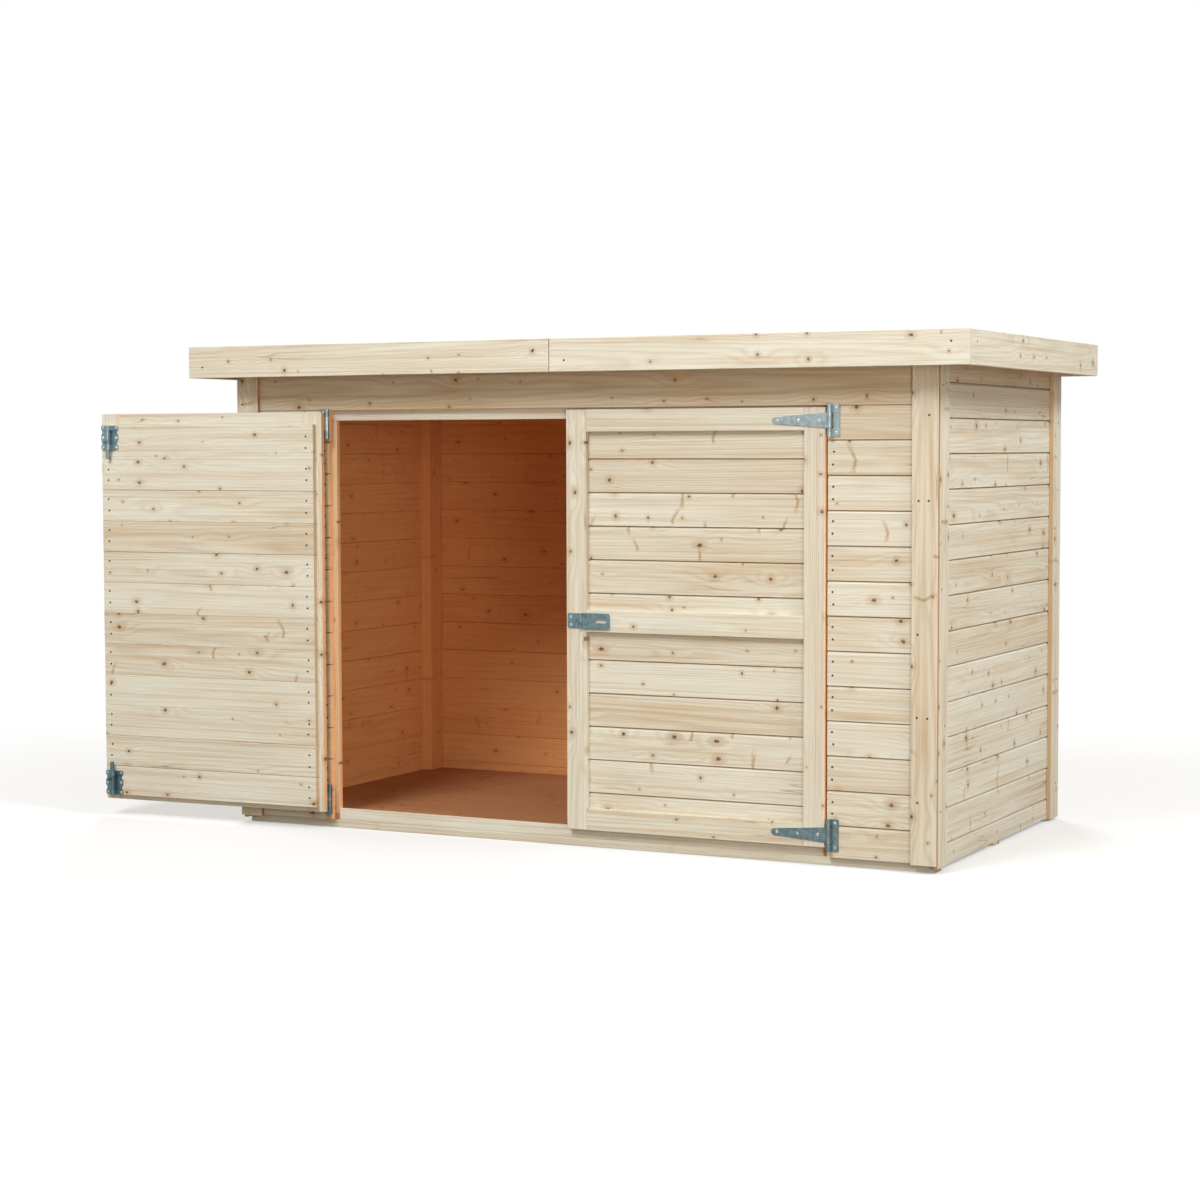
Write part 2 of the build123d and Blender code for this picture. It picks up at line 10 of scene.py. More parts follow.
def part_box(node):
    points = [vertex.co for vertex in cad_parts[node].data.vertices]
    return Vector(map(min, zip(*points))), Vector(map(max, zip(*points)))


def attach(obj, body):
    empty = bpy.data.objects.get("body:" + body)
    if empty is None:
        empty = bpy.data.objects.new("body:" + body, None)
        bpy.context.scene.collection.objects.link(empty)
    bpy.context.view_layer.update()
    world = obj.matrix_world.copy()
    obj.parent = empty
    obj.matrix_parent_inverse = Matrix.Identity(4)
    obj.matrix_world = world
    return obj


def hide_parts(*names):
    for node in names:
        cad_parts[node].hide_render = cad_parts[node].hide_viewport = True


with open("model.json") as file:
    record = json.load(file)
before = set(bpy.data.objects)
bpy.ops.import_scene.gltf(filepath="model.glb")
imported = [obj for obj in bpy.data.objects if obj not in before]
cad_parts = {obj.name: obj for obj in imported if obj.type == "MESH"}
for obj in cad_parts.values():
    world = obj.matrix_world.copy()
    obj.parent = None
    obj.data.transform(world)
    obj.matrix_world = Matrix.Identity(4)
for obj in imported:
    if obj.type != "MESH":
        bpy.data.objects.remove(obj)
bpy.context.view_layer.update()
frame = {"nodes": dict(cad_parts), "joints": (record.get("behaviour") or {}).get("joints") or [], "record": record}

# Looks of the wooden bike shed: every board, trim and nail, the fittings and the roofing felt.
# Metres. +X runs along the front to the right, +Y from the front to the back, +Z up.

X_AXIS = Vector((1, 0, 0))
Y_AXIS = Vector((0, 1, 0))
Z_AXIS = Vector((0, 0, 1))
AXES = (X_AXIS, Y_AXIS, Z_AXIS)

# Camera, solved from the photograph
CAMERA_PLACE = Vector((3.0703, -6.4553, 1.0705))
CAMERA_YAW = math.radians(26.59)
CAMERA_PITCH = math.radians(-3.48)
CAMERA_ROLL = math.radians(-0.14)
PHOTO_PIXELS = 1200
FOCAL_PIXELS = 2497.2
SENSOR_MM = 36.0
CAMERA_REACH = 200.0

# Boards and timbers: what each board covers, a joint's height, and the shapes of joints and edges
FRONT_COVER = 0.0894
DOOR_COVER = 0.0894
SIDE_COVER = 0.0900
FLOOR_COVER = 0.0900
ROOF_COVER = 0.0950
DOOR_JOINT = 1.0410
SIDE_JOINT = 1.2336
JOINT_GAP = 0.0019
JOINT_DEPTH = 0.0080
CHAMFER_RISE = 0.0050
CHAMFER_DEPTH = 0.0048
JOINT_LIP = 0.0010
INNER_ARRIS = 0.0009
INNER_GAP = 0.0010
TIMBER_ARRIS = 0.0014
STEEL_ARRIS = 0.0008
END_ARRIS = 0.0007
ARRIS_STEPS = 2
BOARD_PROUD = 0.0004
BOARD_SHORT = 0.0009
# Width of the left front boards' faces beside the doorway that get the edge finish as painted warm shade
BOUNCE_STRIP = 0.0200
FASCIA_GAP = 0.0010
INNER_HALF = 0.0008

# Limits for telling faces and places apart
SQUARE = 0.9
LEVEL = 0.99999
WELD = 0.00001
FLAT_ANGLE = math.radians(1)
ORDER_DIGITS = 4

# Nails and screws
NAIL_RADIUS = 0.0031
NAIL_PROUD = 0.0003
NAIL_SIDES = 10
NAIL_WANDER = 0.0022
NAIL_SHARES = (0.34, 0.70)
NAIL_PROFILE_SHARES = ((1.0, 0.0), (0.92, 0.7), (0.55, 1.0))
PANEL_NAIL_INSET = 0.0155
LEAF_NAIL_INSET = 0.0220
TRIM_NAIL_ROWS = 5
TRIM_NAIL_ROW_SHARES = (0.3, 0.7)
TRIM_NAIL_SHARES = (0.24, 0.62)
FASCIA_NAIL_INSET = 0.0450
FASCIA_NAIL_SHARES = (0.34, 0.66)
CLOUT_RADIUS = 0.0045
CLOUT_PROUD = 0.0010
CLOUT_SPACING = 0.075
CLOUT_INSET = 0.018
SCREW_RADIUS = 0.0042
SCREW_PROUD = 0.0012
FLAT_SCREW_PROUD = 0.0003
SCREW_SLOT = 0.0012
SCREW_STEPS = 7
SCREW_PROFILE_SHARES = ((1.0, 0.0), (0.95, 0.55), (0.66, 1.0))
STRAP_METAL = 0.0030
HASP_METAL = 0.0025
BOLT_METAL = 0.0020
STRAP_SCREWS = (0.030, 0.086, 0.143)
PLATE_SCREW_INSET = 0.0095
PLATE_SCREW_SHARES = (0.12, 0.88)
HASP_SCREW_INSET = 0.010
HASP_SCREW_SHARES = (0.24, 0.76)
BOLT_SCREW_INSET = 0.0065

# Roofing felt
FELT_STRIPS = 2
FELT_LAP = 0.080
FELT_STEP = 0.0012
FELT_WAVE = 0.0008
FELT_CELL = 0.040

# Colours, linear
PALE = (0.720, 0.714, 0.620)
TAN = (0.555, 0.425, 0.270)
LATEWOOD = (0.410, 0.285, 0.165)
# Painted shade: the warm dark brown of the shed's inside, on the inner halves of boards, the posts and the rafters
PAINTED_INSIDE_SHADE_PALE = (0.920, 0.470, 0.185)
PAINTED_INSIDE_SHADE_TAN = (0.840, 0.375, 0.130)
PAINTED_INSIDE_SHADE_LATEWOOD = (0.640, 0.245, 0.078)
# Painted shade: the dark reddish brown of the floor inside the shed
PAINTED_FLOOR_SHADE_PALE = (0.480, 0.230, 0.105)
PAINTED_FLOOR_SHADE_TAN = (0.410, 0.175, 0.072)
PAINTED_FLOOR_SHADE_LATEWOOD = (0.300, 0.115, 0.048)
# End grain and edges: end grain is darker and warmer; on the narrow edges of the side and rear trims, the door
# posts' fronts and the strip beside the doorway this colour is painted warm shade
EDGE_AND_SHADE_PALE = (0.650, 0.475, 0.290)
EDGE_AND_SHADE_TAN = (0.560, 0.370, 0.195)
EDGE_AND_SHADE_LATEWOOD = (0.400, 0.235, 0.115)
# Painted light: bright orange for warm light bounced from inside, on faces at the doorway, the stiles' hinge edges
# and the undersides of the roof boards and the board over the doors
PAINTED_BOUNCE_PALE = (0.980, 0.550, 0.285)
PAINTED_BOUNCE_TAN = (0.900, 0.440, 0.200)
PAINTED_BOUNCE_LATEWOOD = (0.660, 0.285, 0.115)
# Painted shade: dark brown inside the board joints and on the front trims' edges, for the shadow there
PAINTED_GROOVE_SHADE_PALE = (0.500, 0.285, 0.135)
PAINTED_GROOVE_SHADE_TAN = (0.420, 0.225, 0.100)
PAINTED_GROOVE_SHADE_LATEWOOD = (0.310, 0.155, 0.065)
ZINC = (0.370, 0.440, 0.445)
# The stain colour also serves as painted shade, darker towards the ground
ZINC_STAIN_AND_SHADE = (0.105, 0.160, 0.175)
DULL_ZINC = (0.215, 0.310, 0.335)
DULL_ZINC_STAIN_AND_SHADE = (0.075, 0.130, 0.150)
# Painted highlight: screw heads lighter than the plates, for their glints
SCREW_ZINC_HIGHLIGHT = (0.620, 0.680, 0.680)
NAIL_COLOUR = (0.070, 0.050, 0.038)
NAIL_RUST = (0.095, 0.048, 0.026)
FELT_DARK = (0.030, 0.032, 0.035)
FELT_LIGHT = (0.110, 0.115, 0.120)
WHITE = (1.0, 1.0, 1.0)
STAGE_WHITE = (0.80, 0.80, 0.80)
STAGE_BOUNCE = (0.24, 0.18, 0.12)
SKY_TINT = (1.0, 0.94, 0.84)

# What is left of the wood's colour in a knot's core and in cracks, at its heart, round it and in slashes
KNOT_SHADE = (0.315, 0.170, 0.098)
HEART_SHADE = (0.130, 0.067, 0.042)
HALO_SHADE = (0.720, 0.500, 0.300)
SLASH_SHADE = (0.680, 0.520, 0.345)

# How strongly these shades show
CRACK_SHARE = 0.45
SLASH_SHARE = 0.85
HALO_SHARE = 0.45
CORE_SHARE = 0.70
HEART_SHARE = 0.70

# Wood grain, in metres, per metre and as shares
RING_WIDTH = 0.0052
TRUNK_TAPER = 0.013
RING_WOBBLE = 0.0030
KNOTS_ALONG = 7.5
KNOTS_ACROSS = 19.0
KNOT_SMALL = 0.0021
KNOT_LARGE = 0.0064
KNOT_SHARE = 0.54
PUSH_LENGTH = 0.050
PUSH_WIDTH = 0.016
SLASHES_ALONG = 5.0
SLASHES_ACROSS = 12.0
SLASH_WIDTH = 0.0072
SLASH_LENGTH = 0.0420
SLASH_BOARD_SHARE = 0.40
SLASH_SCRAMBLE = 7.3
# Share of knots on the wood with the painted inside shade
PAINTED_INSIDE_SHADE_KNOT_SHARE = 0.5
BOARD_TINTS = (0.15, 0.68)
PITH_SIDE = 0.070
PITH_NEAR = 0.030
PITH_FAR = 0.130
GRAIN_OFFSET = 60.0

# Noise in the wood, in repeats per metre along and across the grain
WOBBLE_REPEATS = (1.3, 11.0)
STREAK_REPEATS = (1.2, 80.0)
PATCH_REPEATS = (2.6, 9.0)
LINE_REPEATS = (1.4, 230.0)
FIBRE_REPEATS = (16.0, 850.0)
VEIN_REPEATS = (1.7, 42.0)

# Other noise, in repeats per metre all ways
KNOT_RAGGED_REPEATS = 190.0
SLASH_RAGGED_REPEATS = 120.0
SPANGLE_REPEATS = 240.0
STAIN_REPEATS = 55.0
STEEL_GRIT_REPEATS = 1400.0
RUST_REPEATS = 160.0
NAIL_GRIT_REPEATS = 2500.0
FELT_GRIT_REPEATS = 900.0
FELT_CLOUD_REPEATS = 5.0

# Fine relief of the finishes: its depth in metres and how strongly it shows
WOOD_RELIEF = (0.0005, 0.35)
STEEL_RELIEF = (0.0002, 0.25)
NAIL_RELIEF = (0.0001, 0.30)
FELT_RELIEF = (0.0008, 0.50)

# Heights between which the steel's painted shade, darker towards the ground, fades
PAINTED_SHADE_LOW = 0.25
PAINTED_SHADE_HIGH = 0.95

# The floor's reach and the distances between which it fades to white
STAGE_REACH = 40.0
STAGE_NEAR = 1.5
STAGE_FAR = 4.0
STAGE_NEAR_SHARE = 0.35

# Light from all round, and the lamps: place, target, size, watts and colour
SKY_STRENGTH = 0.42
LAMPS = {
    "key": ((-0.9, -6.0, 6.0), (-0.3, 0, 0.6), 3.0, 400.0, WHITE),
    "side": ((6.0, -1.5, 6.0), (0.8, 0, 0.6), 3.0, 400.0, (0.99, 1.0, 1.0)),
    "low": ((4.0, -5.0, 1.1), (-0.5, -0.4, 0.6), 2.4, 100.0, (1.0, 0.98, 0.95)),
    "rear": ((-4.0, 6.5, 5.5), (0, 0, 0.6), 4.0, 420.0, WHITE),
}

# Tints of the planed timbers, from 0 for pale to 1 for tan. The others are drawn at random.
TONES = {
    "bearer_front": 0.50,
    "bearer_middle": 0.50,
    "bearer_rear": 0.50,
    "door_sill": 0.08,
    # Tinted far to tan as painted shade under the roof's overhang
    "front_top_board": 0.95,
    "door_posts": 0.35,
    "door_head": 0.40,
    "front_trims": 0.70,
    "side_trims_left": 0.45,
    "side_trims_right": 0.45,
    "rear_trims": 0.45,
    "fascia_front_left": 0.50,
    "fascia_front_right": 0.50,
    "fascia_left": 0.50,
    "fascia_right": 0.50,
    "fascia_rear": 0.50,
    "left_door_stiles": 0.50,
    "right_door_stiles": 0.50,
    "left_door_rails": 0.25,
    "right_door_rails": 0.25,
}

# Steel nodes that are duller than the rest. The left hinge plates take the duller colour as painted shade of the
# narrow gap beside the folded leaf.
DULL_NODES = (
    "hasp_leaf",
    "hasp_flap",
    "hasp_staple",
    "bolt_housings",
    "upper_bolt",
    "lower_bolt",
    "left_hinge_plates",
)

# The way that each nailed trim and fascia board faces
TRIM_WAYS = {
    "front_trims": -Y_AXIS,
    "side_trims_left": -X_AXIS,
    "side_trims_right": X_AXIS,
    "rear_trims": Y_AXIS,
}
FASCIA_WAYS = {
    "fascia_front_left": -Y_AXIS,
    "fascia_front_right": -Y_AXIS,
    "fascia_left": -X_AXIS,
    "fascia_right": X_AXIS,
    "fascia_rear": Y_AXIS,
}

# Finishes of the wood, in the order of the materials on each wooden piece: the face, the inside's painted shade,
# end grain and edges with painted warm shade, the inside floor's painted shade, painted warm bounce light, and the
# joints' painted shade
FACE, PAINTED_INSIDE_SHADE, EDGE_AND_SHADE, PAINTED_FLOOR_SHADE, PAINTED_BOUNCE, PAINTED_GROOVE_SHADE = range(6)


class Nodes:
    """Adds shader nodes to one tree and links them. A value may be a number or a socket."""

    def __init__(self, tree):
        self.tree = tree

    def add(self, kind, **settings):
        node = self.tree.nodes.new(kind)
        for key, value in settings.items():
            setattr(node, key, value)
        return node

    def feed(self, socket, value):
        if isinstance(value, bpy.types.NodeSocket):
            self.tree.links.new(value, socket)
        else:
            socket.default_value = value

    def math(self, operation, *values):
        node = self.add("ShaderNodeMath", operation=operation)
        for socket, value in zip(node.inputs, values):
            self.feed(socket, value)
        return node.outputs[0]

    def attribute(self, name, output):
        return self.add("ShaderNodeAttribute", attribute_name=name).outputs[output]

    def split(self, vector):
        node = self.add("ShaderNodeSeparateXYZ")
        self.feed(node.inputs[0], vector)
        return node.outputs

    def combine(self, x, y, z=0.0):
        node = self.add("ShaderNodeCombineXYZ")
        for socket, value in zip(node.inputs, (x, y, z)):
            self.feed(socket, value)
        return node.outputs[0]

    def noise(self, vector, scale=1.0, detail=2.0):
        node = self.add("ShaderNodeTexNoise")
        self.feed(node.inputs["Vector"], vector)
        node.inputs["Scale"].default_value = scale
        node.inputs["Detail"].default_value = detail
        return node.outputs[0]

    def span(self, value, low, high, to_low=0.0, to_high=1.0):
        """Maps a range smoothly onto another one and holds it at its ends."""
        node = self.add("ShaderNodeMapRange", interpolation_type="SMOOTHSTEP")
        for socket, number in zip(node.inputs, (value, low, high, to_low, to_high)):
            self.feed(socket, number)
        return node.outputs[0]

    def mix(self, share, first, second, blend="MIX"):
        node = self.add("ShaderNodeMix", data_type="RGBA", blend_type=blend)
        self.feed(node.inputs["Factor"], share)
        for socket, colour in ((node.inputs["A"], first), (node.inputs["B"], second)):
            self.feed(socket, (*colour, 1) if isinstance(colour, tuple) else colour)
        return node.outputs["Result"]


def new_material(name):
    """A material with a Principled shader, and the helper for its tree."""
    material = bpy.data.materials.new(name)
    material.use_nodes = True
    shader = material.node_tree.nodes["Principled BSDF"]
    return material, Nodes(material.node_tree), shader


def bump(n, shader, height, relief, normal=None):
    depth, strength = relief
    node = n.add("ShaderNodeBump")
    if normal:
        n.feed(node.inputs["Normal"], normal)
    node.inputs["Distance"].default_value = depth
    node.inputs["Strength"].default_value = strength
    n.feed(node.inputs["Height"], height)
    n.feed(shader.inputs["Normal"], node.outputs[0])


def grain_noise(n, grain, repeats, detail=2.0):
    """Noise that is drawn out along the grain."""
    along, across, depth = grain
    place = n.combine(
        n.math("MULTIPLY", along, repeats[0]),
        n.math("MULTIPLY", across, repeats[1]),
        n.math("MULTIPLY", depth, repeats[1]),
    )
    return n.noise(place, detail=detail)


def cells(n, along, across, along_count, across_count):
    """Scattered places on a face: the way to the nearest one, along and across, and its random numbers."""
    cell = n.add("ShaderNodeTexVoronoi", voronoi_dimensions="2D")
    place = n.combine(n.math("MULTIPLY", along, along_count), n.math("MULTIPLY", across, across_count))
    n.feed(cell.inputs["Vector"], place)
    cell.inputs["Scale"].default_value = 1.0
    centre = n.split(cell.outputs["Position"])
    away = n.math("SUBTRACT", along, n.math("DIVIDE", centre[0], along_count))
    aside = n.math("SUBTRACT", across, n.math("DIVIDE", centre[1], across_count))
    return away, aside, n.split(cell.outputs["Color"])


def length_of(n, a, b):
    """Length of a flat vector."""
    return n.math("SQRT", n.math("ADD", n.math("MULTIPLY", a, a), n.math("MULTIPLY", b, b)))


def reach_from(n, a, a_size, b, b_size):
    """Distance from a centre in units of an ellipse's half axes."""
    return length_of(n, n.math("DIVIDE", a, a_size), n.math("DIVIDE", b, b_size))


def knots(n, along, across):
    """Masks of the round knots: core, heart and halo, and how far they push the growth rings aside."""
    away, aside, chance = cells(n, along, across, KNOTS_ALONG, KNOTS_ACROSS)
    present = n.math("LESS_THAN", chance[1], KNOT_SHARE)
    radius = n.span(n.math("POWER", chance[0], 1.5), 0.0, 1.0, KNOT_SMALL, KNOT_LARGE)
    ragged = n.math("SUBTRACT", n.noise(n.combine(along, across), KNOT_RAGGED_REPEATS), 0.5)
    length = n.math("MULTIPLY", radius, n.span(chance[2], 0.0, 1.0, 0.8, 1.5))
    reach = reach_from(n, away, length, aside, radius)
    reach = n.math("ADD", reach, n.math("MULTIPLY", ragged, 0.9))
    core = n.math("MULTIPLY", n.span(reach, 1.15, 0.45), present)
    inner = n.span(n.math("ADD", reach, n.math("MULTIPLY", ragged, 2.0)), 0.75, 0.25)
    heart = n.math("MULTIPLY", inner, present)
    halo = n.math("MULTIPLY", n.span(reach, 3.8, 0.8), present)
    near = reach_from(n, away, PUSH_LENGTH, aside, PUSH_WIDTH)
    push = n.math("EXPONENT", n.math("MULTIPLY", n.math("MULTIPLY", near, near), -1.0))
    push = n.math("MULTIPLY", n.math("MULTIPLY", push, present), n.math("MULTIPLY", radius, 1.6))
    return core, heart, halo, push


def slashes(n, along, across, tint):
    """Branches cut lengthwise: tan strokes across some boards, one or in pairs."""
    away, aside, chance = cells(n, along, across, SLASHES_ALONG, SLASHES_ACROSS)
    upper = n.math("GREATER_THAN", aside, 0.0)
    lean = n.math("MULTIPLY", n.span(chance[2], 0.0, 1.0, -0.6, 0.6), n.span(upper, 0.0, 1.0, -0.5, 1.0))
    away = n.math("ADD", away, n.math("MULTIPLY", aside, lean))
    ragged = n.math("SUBTRACT", n.noise(n.combine(along, across), SLASH_RAGGED_REPEATS, 3.0), 0.5)
    long = n.span(chance[0], 0.0, 1.0, SLASH_LENGTH * 0.4, SLASH_LENGTH)
    wide = n.span(n.math("ABSOLUTE", aside), 0.0, SLASH_LENGTH, SLASH_WIDTH * 0.7, SLASH_WIDTH * 1.5)
    reach = n.math("ADD", reach_from(n, away, wide, aside, long), n.math("MULTIPLY", ragged, 1.1))
    paired = n.math("GREATER_THAN", aside, n.span(chance[1], 0.0, 0.5, -SLASH_LENGTH, 0.0))
    # The tint is scrambled, so that pale and tan boards alike can have slashes
    scrambled = n.math("FRACT", n.math("MULTIPLY", tint, SLASH_SCRAMBLE))
    chosen = n.math("LESS_THAN", scrambled, SLASH_BOARD_SHARE)
    present = n.math("MULTIPLY", n.math("MULTIPLY", chosen, paired), n.math("LESS_THAN", chance[1], 0.5))
    return n.math("MULTIPLY", n.span(reach, 1.3, 0.2), present)


def growth_rings(n, grain, push):
    """The darker late wood of the rings round the pith. Knots push the rings aside."""
    along, across, depth = grain
    wobble = grain_noise(n, grain, WOBBLE_REPEATS)
    ring = length_of(n, across, depth)
    ring = n.math("ADD", ring, n.math("MULTIPLY", along, TRUNK_TAPER))
    ring = n.math("ADD", ring, n.math("MULTIPLY", wobble, RING_WOBBLE))
    ring = n.math("ADD", ring, push)
    wave = n.math("SINE", n.math("MULTIPLY", ring, math.tau / RING_WIDTH))
    return n.math("POWER", n.math("ADD", n.math("MULTIPLY", wave, 0.5), 0.5), 2.2)


def cracks(n, grain, patch):
    """Fine dark lines along the grain, in some patches."""
    vein = grain_noise(n, grain, VEIN_REPEATS, 1.0)
    crack = n.span(n.math("ABSOLUTE", n.math("SUBTRACT", vein, 0.5)), 0.012, 0.002)
    return n.math("MULTIPLY", crack, n.span(patch, 0.56, 0.66))


def clear_wood(n, grain, tint, patch, late, colours):
    """The colour of wood without knots: from pale to tan by board, patch, streak and line."""
    pale, tan, latewood = colours
    streak = grain_noise(n, grain, STREAK_REPEATS, 4.0)
    line = grain_noise(n, grain, LINE_REPEATS)
    warm = n.math("ADD", n.span(tint, 0.35, 1.0, 0.0, 0.55), n.span(patch, 0.35, 0.75, 0.0, 0.25))
    warm = n.math("ADD", warm, n.span(streak, 0.45, 0.72, 0.0, 0.48))
    colour = n.mix(warm, pale, tan)
    colour = n.mix(n.span(line, 0.50, 0.72, 0.0, 0.58), colour, tan)
    return n.mix(n.math("MULTIPLY", late, n.span(tint, 0.0, 1.0, 0.08, 0.34)), colour, latewood)


def spruce(name, *colours, knot_share=1.0):
    """Planed spruce: growth rings round a pith beside the board, streaks, fibres and knots."""
    material, n, shader = new_material(name)
    grain = n.split(n.attribute("grain", "Vector"))
    tint = n.attribute("tint", "Fac")
    core, heart, halo, push = knots(n, grain[0], grain[1])
    slash = slashes(n, grain[0], grain[1], tint)
    late = growth_rings(n, grain, push)
    patch = grain_noise(n, grain, PATCH_REPEATS)
    crack = cracks(n, grain, patch)
    fibre = grain_noise(n, grain, FIBRE_REPEATS)
    colour = clear_wood(n, grain, tint, patch, late, colours)
    shade = n.span(fibre, 0.25, 0.75, 0.93, 1.05)
    colour = n.mix(1.0, colour, n.combine(shade, shade, shade), "MULTIPLY")
    marks = (
        (crack, CRACK_SHARE, KNOT_SHADE),
        (slash, SLASH_SHARE * knot_share, SLASH_SHADE),
        (halo, HALO_SHARE * knot_share, HALO_SHADE),
        (core, CORE_SHARE * knot_share, KNOT_SHADE),
        (heart, HEART_SHARE * knot_share, HEART_SHADE),
    )
    for mask, share, left in marks:
        colour = n.mix(n.math("MULTIPLY", mask, share), colour, left, "MULTIPLY")
    n.feed(shader.inputs["Base Color"], colour)
    n.feed(shader.inputs["Roughness"], n.span(fibre, 0.2, 0.8, 0.58, 0.70))
    shader.inputs["Specular IOR Level"].default_value = 0.30
    height = n.math("ADD", n.math("MULTIPLY", fibre, 0.6), n.math("MULTIPLY", late, 0.4))
    height = n.math("SUBTRACT", height, n.math("ADD", n.math("MULTIPLY", heart, 0.5), crack))
    bump(n, shader, height, WOOD_RELIEF)
    return material


def zinc(name, clean, stained_and_shaded):
    """Zinc plated steel with a faint spangle, patchy stains, a painted shade that darkens it towards the ground,
    and softened edges.
    """
    material, n, shader = new_material(name)
    place = n.add("ShaderNodeTexCoord").outputs["Object"]
    spangle = n.add("ShaderNodeTexVoronoi")
    n.feed(spangle.inputs["Vector"], place)
    spangle.inputs["Scale"].default_value = SPANGLE_REPEATS
    stain = n.noise(place, STAIN_REPEATS, 3.0)
    grit = n.noise(place, STEEL_GRIT_REPEATS)
    share = n.math("MULTIPLY", n.split(spangle.outputs["Color"])[0], 0.22)
    share = n.math("ADD", share, n.span(stain, 0.40, 0.70, 0.0, 0.45))
    # Painted shade: darker towards the ground
    share = n.math("ADD", share, n.span(n.split(place)[2], PAINTED_SHADE_LOW, PAINTED_SHADE_HIGH, 0.70, 0.0))
    n.feed(shader.inputs["Base Color"], n.mix(n.math("MINIMUM", share, 1.0), clean, stained_and_shaded))
    n.feed(shader.inputs["Roughness"], n.span(stain, 0.3, 0.7, 0.30, 0.46))
    shader.inputs["Metallic"].default_value = 0.75
    rounded = n.add("ShaderNodeBevel", samples=6)
    rounded.inputs["Radius"].default_value = STEEL_ARRIS
    bump(n, shader, n.math("ADD", grit, stain), STEEL_RELIEF, rounded.outputs[0])
    return material


def nail_steel():
    material, n, shader = new_material("nail_steel")
    place = n.add("ShaderNodeTexCoord").outputs["Object"]
    rust = n.noise(place, RUST_REPEATS, 3.0)
    n.feed(shader.inputs["Base Color"], n.mix(n.span(rust, 0.4, 0.7), NAIL_COLOUR, NAIL_RUST))
    shader.inputs["Metallic"].default_value = 0.5
    shader.inputs["Roughness"].default_value = 0.55
    bump(n, shader, n.noise(place, NAIL_GRIT_REPEATS), NAIL_RELIEF)
    return material


def roofing_felt():
    """Bitumen felt with mineral grit."""
    material, n, shader = new_material("roofing_felt")
    place = n.add("ShaderNodeTexCoord").outputs["Object"]
    grit = n.add("ShaderNodeTexVoronoi")
    n.feed(grit.inputs["Vector"], place)
    grit.inputs["Scale"].default_value = FELT_GRIT_REPEATS
    cloud = n.noise(place, FELT_CLOUD_REPEATS, 4.0)
    share = n.math("MULTIPLY", n.split(grit.outputs["Color"])[0], n.span(cloud, 0.3, 0.7, 0.55, 1.0))
    n.feed(shader.inputs["Base Color"], n.mix(share, FELT_DARK, FELT_LIGHT))
    shader.inputs["Roughness"].default_value = 0.92
    bump(n, shader, n.math("ADD", n.split(grit.outputs["Color"])[1], cloud), FELT_RELIEF)
    return material


WOOD = [
    spruce("spruce_face", PALE, TAN, LATEWOOD),
    # Painted shade of the inside
    spruce(
        "spruce_sheltered",
        PAINTED_INSIDE_SHADE_PALE,
        PAINTED_INSIDE_SHADE_TAN,
        PAINTED_INSIDE_SHADE_LATEWOOD,
        knot_share=PAINTED_INSIDE_SHADE_KNOT_SHARE,
    ),
    # Darker end grain, and painted warm shade on edges and at the doorway
    spruce("spruce_edge_and_shade", EDGE_AND_SHADE_PALE, EDGE_AND_SHADE_TAN, EDGE_AND_SHADE_LATEWOOD),
    # Painted shade of the inside floor
    spruce("spruce_painted_floor_shade", PAINTED_FLOOR_SHADE_PALE, PAINTED_FLOOR_SHADE_TAN, PAINTED_FLOOR_SHADE_LATEWOOD),
    # Painted warm bounce light
    spruce("spruce_painted_bounce", PAINTED_BOUNCE_PALE, PAINTED_BOUNCE_TAN, PAINTED_BOUNCE_LATEWOOD),
    # Painted shade in the joints
    spruce("spruce_painted_groove_shade", PAINTED_GROOVE_SHADE_PALE, PAINTED_GROOVE_SHADE_TAN, PAINTED_GROOVE_SHADE_LATEWOOD),
]
STEEL = zinc("zinc_plated_steel", ZINC, ZINC_STAIN_AND_SHADE)
DULL_STEEL = zinc("dull_zinc_plated_steel", DULL_ZINC, DULL_ZINC_STAIN_AND_SHADE)
# Screw heads lighter than the plates, as a painted highlight
SCREW_STEEL = zinc("screw_steel_painted_highlight", SCREW_ZINC_HIGHLIGHT, ZINC)
NAIL_STEEL = nail_steel()
FELT = roofing_felt()


def door_hinge(side):
    return next(joint for joint in frame["joints"] if joint["name"] == side + "_door_hinge")


def leaf_turn():
    """The turn that brings the left leaf from its closed place to its place at rest."""
    joint = door_hinge("left")
    pin = Matrix.Translation(joint["pos_m"])
    angle = -math.radians(joint["range_deg"][0])
    return pin @ Matrix.Rotation(angle, 4, Vector(joint["axis"])) @ pin.inverted()


LEFT_TURN = leaf_turn()
STILL = Matrix.Identity(4)


def cut(bm, point, normal):
    """Cuts off what lies beyond a plane and closes the cut."""
    geometry = bm.verts[:] + bm.edges[:] + bm.faces[:]
    bmesh.ops.bisect_plane(bm, geom=geometry, dist=WELD, plane_co=point, plane_no=normal, clear_outer=True)
    rim = [edge for edge in bm.edges if edge.is_boundary]
    if rim:
        bmesh.ops.holes_fill(bm, edges=rim, sides=0)


def size_along(bm, axis):
    reach = [vert.co.dot(axis) for vert in bm.verts]
    return min(reach), max(reach)


def box_of(bm):
    """A mesh's lowest and highest corner."""
    spans = [size_along(bm, axis) for axis in AXES]
    return [Vector(corner) for corner in zip(*spans)]


